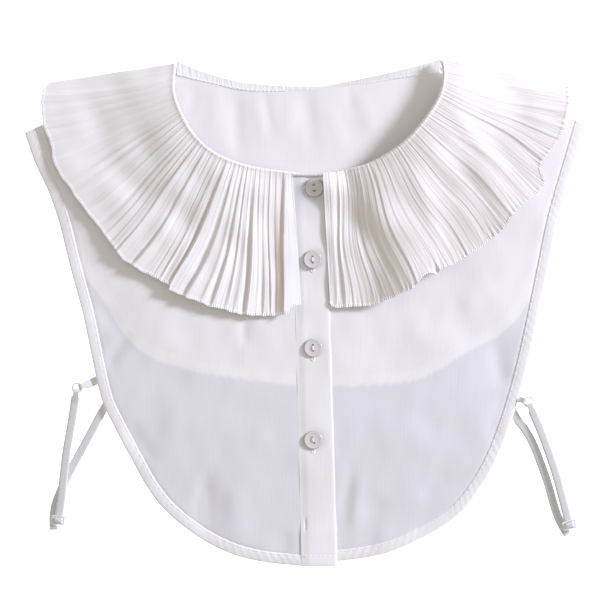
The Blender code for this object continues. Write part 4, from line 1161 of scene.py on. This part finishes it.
def neck_edge_line(side):
    """The inner line of one rolled neck edge."""
    split = PLACKET_FOLD[0]
    chosen = NECK[NECK[:, 0] < split] if side < 0 else NECK[NECK[:, 0] > split + 1.0]
    return along(chosen, np.linspace(0.0, 1.0, 560 if side < 0 else 340))


# Half of the roll's cross-section: how far out from the neckline's edge, and how high
ROLL = [
    (0.25, 0.1), (0.06, 0.8), (0.0, 1.6), (0.03, 2.4), (0.12, 2.86), (0.32, 3.1), (0.7, 3.2), (1.4, 3.22),
    (1.9, 3.08), (2.15, 2.85), (2.2, 2.5), (2.2, 0.1),
]


def gathers(side):
    """Where the pleats' crests meet the neck edge."""
    folds = RUFFLE_RIGHT_FOLDS if side < 0 else RUFFLE_LEFT_FOLDS
    start = RUFFLE_RIGHT_START if side < 0 else RUFFLE_LEFT_START
    places = [this[0] + (after[0] - this[0]) * k / this[5]
              for this, after in zip(folds, folds[1:]) for k in range(this[5])]
    return along(neck_stretch(start, side, 400), np.array(places) / 100.0)


def build_neck_edges():
    """The rolled edge that closes the front's neck, gathered in line with the pleats."""
    surface = bpy.data.materials["ruffle_cloth_look"]
    crests = np.vstack([gathers(-1), gathers(1)])
    for side, name in ((-1, "neck_edge_right"), (1, "neck_edge_left")):
        inner = neck_edge_line(side)
        outer = moved_left(inner, -NECK_EDGE_WIDTH)
        low = front_level(outer)
        near = np.linalg.norm(outer[:, None] - crests[None], axis=2).min(axis=1)
        bump = np.exp(-(near / 0.75) ** 2)
        from_shoulder = run_length(inner) if side < 0 else run_length(inner)[-1] - run_length(inner)
        size = 1.0 - 0.55 * fall(from_shoulder, 0.0, 16.0)
        sections = []
        for a, b, z, high, share in zip(inner, outer, low, bump, size):
            ahead = (b - a) / NECK_EDGE_WIDTH
            sections.append([
                (*(a + ahead * out), z + up * share * (0.93 + 0.07 * high)) for out, up in ROLL])
        bm = bmesh.new()
        swept(bm, sections)
        piece = bmesh_piece(f"{name}_cloth", bm, surface, name, smooth=60.0)
        for title in ("crest", "trough", "border", "ticks", "across", "down"):
            layer = piece.data.attributes.new(title, "FLOAT", "POINT")
            # Painted shade: the rolls take the trough colour all over, which dulls their bright top
            if title == "trough":
                layer.data.foreach_set("value", np.ones(len(piece.data.vertices), np.float32))


# Buttons


BUTTON_PROFILE = [
    (0.0, 1.24), (1.2, 1.25), (3.0, 1.28), (3.9, 1.32), (4.4, 1.39), (4.8, 1.46), (5.15, 1.5), (5.45, 1.48),
    (5.7, 1.39), (5.88, 1.2), (5.96, 0.94), (5.96, 0.72), (5.9, 0.45), (5.7, 0.24), (5.3, 0.09), (4.8, 0.0),
    (0.0, 0.0),
]
HOLE_RADIUS = 0.8
HOLE_SPREAD = 3.7


def lathe(bm, profile, centre, steps):
    """Turns a profile round an upright axis into a closed solid."""
    verts = [bm.verts.new((centre[0] + x, centre[1], centre[2] + z)) for x, z in profile]
    edges = [bm.edges.new(pair) for pair in zip(verts, verts[1:])]
    bmesh.ops.spin(
        bm, geom=verts + edges, cent=centre, axis=(0.0, 0.0, 1.0), dvec=(0.0, 0.0, 0.0),
        angle=2 * math.pi, steps=steps, use_merge=True, use_duplicate=False)
    bmesh.ops.remove_doubles(bm, verts=bm.verts, dist=1e-4)


def drilled(piece, cutters):
    """Cuts rods out of a piece and keeps the result as its mesh."""
    for cutter in cutters:
        cut = piece.modifiers.new("hole", "BOOLEAN")
        cut.operation = "DIFFERENCE"
        cut.object = cutter
    bpy.context.view_layer.update()
    evaluated = piece.evaluated_get(bpy.context.evaluated_depsgraph_get())
    piece.modifiers.clear()
    made = bpy.data.meshes.new_from_object(evaluated)
    for cutter in cutters:
        bpy.data.objects.remove(cutter, do_unlink=True)
    return made


def paint_rim_shade(mesh, x, y):
    """Marks a button's outer wall, where painted shade darkens the resin."""
    points = np.empty(len(mesh.vertices) * 3, np.float32)
    mesh.vertices.foreach_get("co", points)
    points = points.reshape(-1, 3) / MM - np.array(SHIFT)
    reach = np.hypot(points[:, 0] - x, points[:, 1] - y)
    dark = 1.0 - fall(reach, 5.5, 5.95)
    layer = mesh.attributes.new("rim", "FLOAT", "POINT")
    layer.data.foreach_set("value", dark.astype(np.float32))


def build_buttons():
    """Four two-hole buttons with their thread and their buttonholes."""
    surface = button_look()
    thread = thread_look()
    for number, (x, y, twist) in enumerate(BUTTONS, start=1):
        name = f"button_{number}"
        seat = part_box(name)[0].z / MM - SETTLE - 1.5 * BUTTON_DIP
        bm = bmesh.new()
        lathe(bm, BUTTON_PROFILE, (x, y, seat), 56)
        piece = bmesh_piece(f"{name}_disc", bm, surface, name, slot="button")
        turn = Matrix.Rotation(math.radians(twist), 3, "Z")
        holes = [turn @ Vector((0.0, side * HOLE_SPREAD / 2, 0.0)) for side in (-1, 1)]
        cutters = []
        for hole in holes:
            rod = bmesh.new()
            bmesh.ops.create_cone(
                rod, cap_ends=True, segments=16, radius1=HOLE_RADIUS, radius2=HOLE_RADIUS, depth=8.0)
            bmesh.ops.translate(rod, vec=(x + hole.x, y + hole.y, seat), verts=rod.verts)
            bmesh.ops.translate(rod, vec=SHIFT, verts=rod.verts)
            bmesh.ops.scale(rod, vec=(MM, MM, MM), verts=rod.verts)
            mesh = bpy.data.meshes.new("rod")
            rod.to_mesh(mesh)
            rod.free()
            cutter = bpy.data.objects.new("rod", mesh)
            bpy.context.scene.collection.objects.link(cutter)
            cutters.append(cutter)
        piece.data = drilled(piece, cutters)
        piece.data.set_sharp_from_angle(angle=math.radians(35))
        paint_rim_shade(piece.data, x, y)
        bm = bmesh.new()
        along_holes = (holes[1] - holes[0]).normalized()
        aside = Vector((-along_holes.y, along_holes.x, 0.0))
        for offset in (-0.26, 0.26):
            path = []
            for t in np.linspace(-1.0, 1.0, 13):
                reach = min(1.0, abs(t) * 1.08) * math.copysign(1.0, t) * (HOLE_SPREAD / 2 - 0.4)
                height = 1.42 + 0.3 * (1 - t * t) - 1.3 * max(0.0, abs(t) - 0.86) / 0.14
                spot = along_holes * reach + aside * offset * (1.0 - 0.35 * abs(t))
                path.append((x + spot.x, y + spot.y, seat + height))
            swept(bm, tube_sections(path, 0.24, sides=8))
        bmesh_piece(f"{name}_thread", bm, thread)
    build_buttonholes(thread)


def build_buttonholes(thread):
    """Worked buttonholes: a dense satin edge round each slit."""
    for number, (x, y, _) in enumerate(BUTTONS, start=1):
        half = BUTTONHOLE / 2 - 0.9
        flat = number == 1
        centre = np.array((x - 1.5 if flat else x, y - (0.0 if flat else BUTTONHOLE_DROP)))
        straight = np.linspace(-half, half, 74)
        bend = np.radians(np.linspace(0.0, 180.0, 9))[1:-1]
        right = [(0.78, s) for s in straight]
        top = [(0.78 * math.cos(a), half + 0.78 * math.sin(a)) for a in bend]
        left = [(-0.78, s) for s in straight[::-1]]
        bottom = [(-0.78 * math.cos(a), -half - 0.78 * math.sin(a)) for a in bend]
        ring = np.array(right + top + left + bottom)
        if flat:
            ring = ring[:, ::-1] * (1.0, -1.0) * (0.75, 1.0)
        plan = centre + ring
        path = np.column_stack([plan, placket_lie(plan) + 0.1])
        count = len(path)
        pulse = 1.0 + 0.16 * np.cos(np.pi * np.arange(count))
        bm = bmesh.new()
        swept(bm, tube_sections(path, 0.46 * pulse, 0.30 * pulse, sides=8, closed=True), closed=True)
        bmesh_piece(f"buttonhole_{number}", bm, thread)


# Stitching


def stitches(bm, path):
    """Short threads in a row along a path, each sunk at both ends."""
    step, length = (sizes().stitch + sizes().stitch_gap) / MM, sizes().stitch / MM
    path = np.asarray(path, float)
    total = run_length(path)[-1]
    count = max(1, int(total / step))
    middles = along(path, (np.arange(count) + 0.5) / count)
    ahead = along(path, np.minimum(1.0, (np.arange(count) + 0.5) / count + 0.4 * step / total)) - middles
    wide = sizes().thread / MM / 2
    for point, direction in zip(middles, ahead):
        direction = Vector(direction).normalized()
        side = direction.cross(Vector((0.0, 0.0, 1.0))).normalized()
        up = side.cross(direction)
        turn = Matrix((direction * length / 2, side * wide, up * wide)).transposed().to_4x4()
        turn.translation = Vector(point)
        bmesh.ops.create_uvsphere(bm, u_segments=6, v_segments=5, radius=1.0, matrix=turn @ Matrix.Rotation(
            math.pi / 2, 4, "Y"))


def hem_stitch_path(side):
    """The stitching's line on one front's hem."""
    near, far = front_edges(side)
    hem = sizes().hem / MM
    line = inside_line(near, far, side * (hem - STITCH_INSET))
    height = front_lie(line) + CLOTH + 0.2
    return np.column_stack([line, height])


def build_stitching():
    """The machine stitching along the hems, the placket's foot, the neck edges and the back seam."""
    thread = bpy.data.materials["thread"]
    for name, side in (("right", -1), ("left", 1)):
        bm = bmesh.new()
        path = hem_stitch_path(side)
        stitches(bm, path[6:] if side < 0 else path[12:])
        bmesh_piece(f"hem_stitching_{name}", bm, thread)
    bm = bmesh.new()
    foot = np.array([(x, 6.6) for x in np.linspace(PLACKET_SEAM[1] + 1.0, PLACKET_FOLD[1] - 1.0, 30)])
    stitches(bm, np.column_stack([foot, placket_lie(foot) - 0.1]))
    bmesh_piece("placket_stitching", bm, thread)
    bm = bmesh.new()
    for side in (-1, 1):
        inner = neck_edge_line(side)
        middle = moved_left(inner, -NECK_EDGE_WIDTH * 0.55)
        outer = moved_left(inner, -NECK_EDGE_WIDTH)
        stitches(bm, np.column_stack([middle, front_level(outer) + 3.05]))
    bmesh_piece("neck_stitching", bm, thread)
    bm = bmesh.new()
    seam = moved_left(curve(BACK_SEAM, 200), 0.9)
    for start, end in ((0.0, 0.42), (0.82, 1.0)):
        shown = along(seam, np.linspace(start, end, 60))
        stitches(bm, np.column_stack([shown, back_level(shown) + CLOTH + 0.5]))
    bmesh_piece("back_seam_stitching", bm, thread)


# Straps

# Cross-section of the elastic: across and through, each from -1 to 1
ELASTIC_SECTION = [
    (-1.0, -0.4), (-0.93, -0.86), (-0.5, -1.0), (0.0, -1.0), (0.5, -1.0), (0.93, -0.86), (1.0, -0.4),
    (1.0, 0.4), (0.93, 0.86), (0.5, 1.0), (0.0, 1.0), (-0.5, 1.0), (-0.93, 0.86), (-1.0, 0.4),
]


def spot_on(route, place):
    """A point at a distance along a route, straight on past its ends, and its sideways direction."""
    length = run_length(route)
    inside = min(max(place, 0.0), length[-1])
    ahead = tangents(route)
    point = np.array([np.interp(inside, length, route[:, k]) for k in range(2)])
    step = np.array([np.interp(inside, length, ahead[:, k]) for k in range(2)])
    step /= np.linalg.norm(step)
    return point + step * (place - inside), np.array([-step[1], step[0]])


def softened(profile, longest=2.5):
    """A profile with its long runs divided and its corners cut."""
    points = [np.array(profile[0], float)]
    for two in np.array(profile[1:], float):
        one = points[-1]
        pieces = max(1, math.ceil(np.linalg.norm(two - one) / longest))
        points += [one + (two - one) * (k + 1) / pieces for k in range(pieces)]
    for _ in range(2):
        cut = [points[0]]
        for one, two in zip(points, points[1:]):
            cut += [0.75 * one + 0.25 * two, 0.25 * one + 0.75 * two]
        points = cut + [points[-1]]
    return np.array(points)


def ribbon(name, route, profile, surface, pinched=False):
    """A strip of elastic along a route; the profile is its middle line as (distance along, height)."""
    profile = softened(profile)
    edge = np.diff(profile, axis=0)
    edge /= np.linalg.norm(edge, axis=1, keepdims=True)
    before, after = np.vstack([edge[:1], edge]), np.vstack([edge, edge[-1:]])
    normal = np.stack([-(before + after)[:, 1], (before + after)[:, 0]], axis=1)
    normal /= 1.0 + (before * after).sum(axis=1, keepdims=True)
    run = run_length(profile)
    sections = []
    for (s, z), (ns, nz) in zip(profile, normal * ELASTIC / 2):
        half = ELASTIC_WIDTH / 2
        if pinched:
            half -= (ELASTIC_WIDTH - RING_PINCH) / 2 * float(fall(abs(s), RING_TURN, 2 * RING_TURN))
        corners = []
        for side, face in ELASTIC_SECTION:
            point, sideways = spot_on(route, s + face * ns)
            corners.append((*(point + side * half * sideways), z + face * nz))
        sections.append(corners)
    bm = bmesh.new()
    bm.verts.layers.float.new("run")
    swept(bm, sections, run=run)
    return bmesh_piece(f"{name}_elastic", bm, surface, name, slot="elastic", smooth=50.0)


def turn_points(centre, radius, start, end, steps=10):
    """Points of a half turn in a strap's profile, in degrees from straight ahead."""
    angles = [math.radians(start + (end - start) * k / steps) for k in range(steps + 1)]
    return [(centre[0] + radius * math.cos(a), centre[1] + radius * math.sin(a)) for a in angles]


def build_tab(name, knots, hem_at, surface):
    """The tab: out from under the hem, round the ring's wire and folded back on itself."""
    route = curve(knots, 61)
    length = run_length(route)[-1]
    folded = min(6.5, hem_at - 0.8)
    top = RING_HEIGHT + RING_TURN
    profile = [(folded, top - 0.4 * folded), *turn_points((0.0, RING_HEIGHT), RING_TURN, 90, 270)]
    profile += [(min(8.0, hem_at - 0.5), ELASTIC / 2), (length, ELASTIC / 2)]
    ribbon(name, route, profile, surface, pinched=True)


def build_loop(name, knots, surface):
    """The loop: sewn under the slider, up round the ring's wire, back and over the slider's bar."""
    route = curve(knots, 61)
    centre = run_length(route)[-1]
    lower = ELASTIC + SEAM + ELASTIC / 2
    upper = lower + ELASTIC + SEAM
    over_bar = SLIDER_HEIGHT + SLIDER_THICKNESS + SEAM + ELASTIC / 2
    slot = (SLIDER_BAR + SLIDER_SLOT) / 2
    half = SLIDER_BAR * 1.5 + SLIDER_SLOT
    lower_run = [(s, lower) for s in np.linspace(centre - 0.5, 5.0, 10)]
    upper_run = [(s, upper) for s in np.linspace(7.0, centre - half - 1.0, 10)]
    profile = lower_run + turn_points((0.0, RING_HEIGHT), RING_TURN, 270, 90) + upper_run
    profile += [(centre - slot, upper), (centre - slot, over_bar), (centre + slot, over_bar)]
    profile += [(centre + slot, upper), (centre + half, upper)]
    ribbon(name, route, profile, surface, pinched=True)
    return spot_on(route, centre)


def build_lead(name, knots, surface):
    """The lead: from the turn below the slider, under the front's hem, to the back's corner."""
    route = curve(knots, 81)
    length = run_length(route)[-1]
    upper = 2.5 * ELASTIC + 2 * SEAM
    radius = (upper - ELASTIC / 2) / 2
    profile = turn_points((radius, ELASTIC / 2 + radius), radius, 90, 270)
    profile += [(s, ELASTIC / 2) for s in np.linspace(radius + 3.0, length, 18)]
    ribbon(name, route, profile, surface)


def build_ring(name, centre, surface):
    """The ring that the tab and the loop pass through."""
    reach, wire = 3.1, 0.65
    a = np.linspace(0.0, 2 * np.pi, 48, endpoint=False)
    path = np.column_stack([
        centre[0] + reach * np.cos(a), centre[1] + reach * np.sin(a), np.full(len(a), RING_HEIGHT)])
    bm = bmesh.new()
    swept(bm, tube_sections(path, wire, sides=14, closed=True), closed=True)
    bmesh_piece(f"{name}_wire", bm, surface, name, slot="fitting")


def build_slider(name, spot, surface):
    """A flat slider: three bars and two slots inside a frame, its edges rounded."""
    centre, sideways = spot
    half_width = ELASTIC_WIDTH / 2 + SEAM
    half_length = SLIDER_BAR * 1.5 + SLIDER_SLOT
    across = (-half_width - SLIDER_SIDE, -half_width, half_width, half_width + SLIDER_SIDE)
    ahead = (-half_length, -half_length + SLIDER_BAR, -SLIDER_BAR / 2, SLIDER_BAR / 2,
             half_length - SLIDER_BAR, half_length)
    bm = bmesh.new()
    cell = grid_cells(bm, len(ahead), len(across))
    for vert, (r, c) in cell.items():
        vert.co = (across[c], ahead[r], 0.0)
    slots = [f for f in bm.faces if abs(f.calc_center_median().x) < 0.1
             and SLIDER_BAR / 2 < abs(f.calc_center_median().y) < half_length - SLIDER_BAR]
    bmesh.ops.delete(bm, geom=slots, context="FACES_ONLY")
    raised = bmesh.ops.extrude_face_region(bm, geom=bm.faces[:])
    top = [item for item in raised["geom"] if isinstance(item, bmesh.types.BMVert)]
    bmesh.ops.translate(bm, vec=(0.0, 0.0, SLIDER_THICKNESS), verts=top)
    bmesh.ops.recalc_face_normals(bm, faces=bm.faces)
    sharp = [e for e in bm.edges if e.calc_face_angle(0.0) > 1.0]
    bmesh.ops.bevel(
        bm, geom=sharp, offset=0.28, segments=3, profile=0.5, affect="EDGES", material=-1,
        clamp_overlap=True)
    turn = Matrix.Rotation(math.atan2(sideways[1], sideways[0]), 4, "Z")
    turn.translation = Vector((*centre, SLIDER_HEIGHT))
    bmesh.ops.transform(bm, matrix=turn, verts=bm.verts)
    bmesh_piece(f"{name}_frame", bm, surface, name, slot="fitting", smooth=30.0)


def build_straps():
    """The elastic, the ring and the slider of each side."""
    elastic = elastic_look()
    fitting = fitting_look()
    for side, laid in STRAPS.items():
        build_tab(f"strap_tab_{side}", laid["tab"], laid["hem_at"], elastic)
        spot = build_loop(f"strap_loop_{side}", laid["loop"], elastic)
        build_lead(f"strap_lead_{side}", laid["lead"], elastic)
        build_ring(f"ring_{side}", RING_SPOTS[side], fitting)
        build_slider(f"slider_{side}", spot, fitting)


# Stage

VIEW_WIDTH = 0.3978
CAMERA_HEIGHT = 4.0
VIEW_CENTRE = (0.000675, 0.00462)
# The key stands to the right, a little above the shoulder line
KEY_AZIMUTH = 25.0
KEY_ELEVATION = 22.2
KEY_DISTANCE = 2.6
KEY_POWER = 87.5
KEY_SIZE = 0.52
KEY_COLOUR = (0.765, 0.79, 0.985)
SKY_STRENGTH = 0.545
SKY_COLOUR = (1.0, 0.945, 0.878, 1.0)


def build_stage():
    """The pale floor, the light and the camera straight above."""
    scene = bpy.context.scene
    scene.view_settings.view_transform = "Standard"
    floor_look = bpy.data.materials.new("floor")
    floor_look.use_nodes = True
    shader = floor_look.node_tree.nodes["Principled BSDF"]
    shader.inputs["Base Color"].default_value = colours().floor
    shader.inputs["Roughness"].default_value = 0.9
    shader.inputs["Emission Color"].default_value = (1.0, 1.0, 1.0, 1.0)
    shader.inputs["Emission Strength"].default_value = 0.9
    bm = bmesh.new()
    bmesh.ops.create_grid(bm, x_segments=1, y_segments=1, size=4.0)
    bmesh.ops.translate(bm, vec=(0.0, 0.0, -0.0003), verts=bm.verts)
    mesh = bpy.data.meshes.new("floor")
    bm.to_mesh(mesh)
    bm.free()
    mesh.materials.append(floor_look)
    floor = bpy.data.objects.new("floor", mesh)
    scene.collection.objects.link(floor)
    world = bpy.data.worlds.new("studio")
    world.use_nodes = True
    sky = world.node_tree.nodes["Background"]
    sky.inputs["Color"].default_value = SKY_COLOUR
    sky.inputs["Strength"].default_value = SKY_STRENGTH
    scene.world = world
    lamp = bpy.data.lights.new("key", "AREA")
    lamp.shape = "DISK"
    lamp.size = KEY_SIZE
    lamp.energy = KEY_POWER
    lamp.color = KEY_COLOUR
    key = bpy.data.objects.new("key", lamp)
    scene.collection.objects.link(key)
    a, e = math.radians(KEY_AZIMUTH), math.radians(KEY_ELEVATION)
    towards = Vector((math.cos(a) * math.cos(e), math.sin(a) * math.cos(e), math.sin(e)))
    key.location = towards * KEY_DISTANCE
    key.rotation_euler = towards.to_track_quat("Z", "Y").to_euler()
    lens = bpy.data.cameras.new("camera")
    lens.sensor_width = 36.0
    lens.lens = 36.0 * CAMERA_HEIGHT / VIEW_WIDTH
    lens.clip_end = 100.0
    camera = bpy.data.objects.new("camera", lens)
    camera.location = (*VIEW_CENTRE, CAMERA_HEIGHT)
    scene.collection.objects.link(camera)
    scene.camera = camera


# Operators and panel


class COLLAR_OT_stage(bpy.types.Operator):
    """Set the floor, the light and the camera"""

    bl_idname = "collar.stage"
    bl_label = "Stage"
    bl_options = {"REGISTER", "UNDO"}

    def execute(self, context):
        build_stage()
        return {"FINISHED"}


class COLLAR_OT_panels(bpy.types.Operator):
    """Build the back and the two fronts with their hems"""

    bl_idname = "collar.panels"
    bl_label = "Back and Fronts"
    bl_options = {"REGISTER", "UNDO"}

    def execute(self, context):
        build_back()
        build_fronts()
        return {"FINISHED"}


class COLLAR_OT_placket(bpy.types.Operator):
    """Build the placket"""

    bl_idname = "collar.placket"
    bl_label = "Placket"
    bl_options = {"REGISTER", "UNDO"}

    def execute(self, context):
        build_placket()
        return {"FINISHED"}


class COLLAR_OT_ruffle(bpy.types.Operator):
    """Build the pleated ruffle's front and back stretches"""

    bl_idname = "collar.ruffle"
    bl_label = "Ruffle"
    bl_options = {"REGISTER", "UNDO"}

    def execute(self, context):
        build_front_ruffles()
        build_back_ruffle()
        return {"FINISHED"}


class COLLAR_OT_neck(bpy.types.Operator):
    """Build the gathered heading and the rolled neck edges"""

    bl_idname = "collar.neck"
    bl_label = "Neck"
    bl_options = {"REGISTER", "UNDO"}

    def execute(self, context):
        build_neck_stand()
        build_neck_edges()
        return {"FINISHED"}


class COLLAR_OT_buttons(bpy.types.Operator):
    """Build the buttons, their thread and their buttonholes"""

    bl_idname = "collar.buttons"
    bl_label = "Buttons"
    bl_options = {"REGISTER", "UNDO"}

    def execute(self, context):
        build_buttons()
        return {"FINISHED"}


class COLLAR_OT_stitching(bpy.types.Operator):
    """Sew the visible machine stitching"""

    bl_idname = "collar.stitching"
    bl_label = "Stitching"
    bl_options = {"REGISTER", "UNDO"}

    def execute(self, context):
        build_stitching()
        return {"FINISHED"}


class COLLAR_OT_straps(bpy.types.Operator):
    """Build the elastic straps with their rings and sliders"""

    bl_idname = "collar.straps"
    bl_label = "Straps"
    bl_options = {"REGISTER", "UNDO"}

    def execute(self, context):
        build_straps()
        return {"FINISHED"}


OPERATORS = (
    COLLAR_OT_stage, COLLAR_OT_panels, COLLAR_OT_placket, COLLAR_OT_ruffle, COLLAR_OT_neck,
    COLLAR_OT_buttons, COLLAR_OT_stitching, COLLAR_OT_straps,
)


class COLLAR_PT_dressing(bpy.types.Panel):
    """Sizes, colours and steps of the dressing"""

    bl_label = "False Collar"
    bl_idname = "COLLAR_PT_dressing"
    bl_space_type = "VIEW_3D"
    bl_region_type = "UI"
    bl_category = "Collar"

    def draw(self, context):
        for group in (context.scene.collar_sizes, context.scene.collar_colours):
            box = self.layout.box()
            for title in group.__annotations__:
                box.prop(group, title)
        for operator in OPERATORS:
            self.layout.operator(operator.bl_idname)


CLASSES = (CollarSizes, CollarColours, *OPERATORS, COLLAR_PT_dressing)


def register():
    for made in CLASSES:
        bpy.utils.register_class(made)
    bpy.types.Scene.collar_sizes = bpy.props.PointerProperty(type=CollarSizes)
    bpy.types.Scene.collar_colours = bpy.props.PointerProperty(type=CollarColours)


def unregister():
    del bpy.types.Scene.collar_colours
    del bpy.types.Scene.collar_sizes
    for made in reversed(CLASSES):
        bpy.utils.unregister_class(made)


def main():
    register()
    for operator in OPERATORS:
        getattr(bpy.ops.collar, operator.bl_idname.split(".")[1])()


if __name__ == "__main__":
    main()
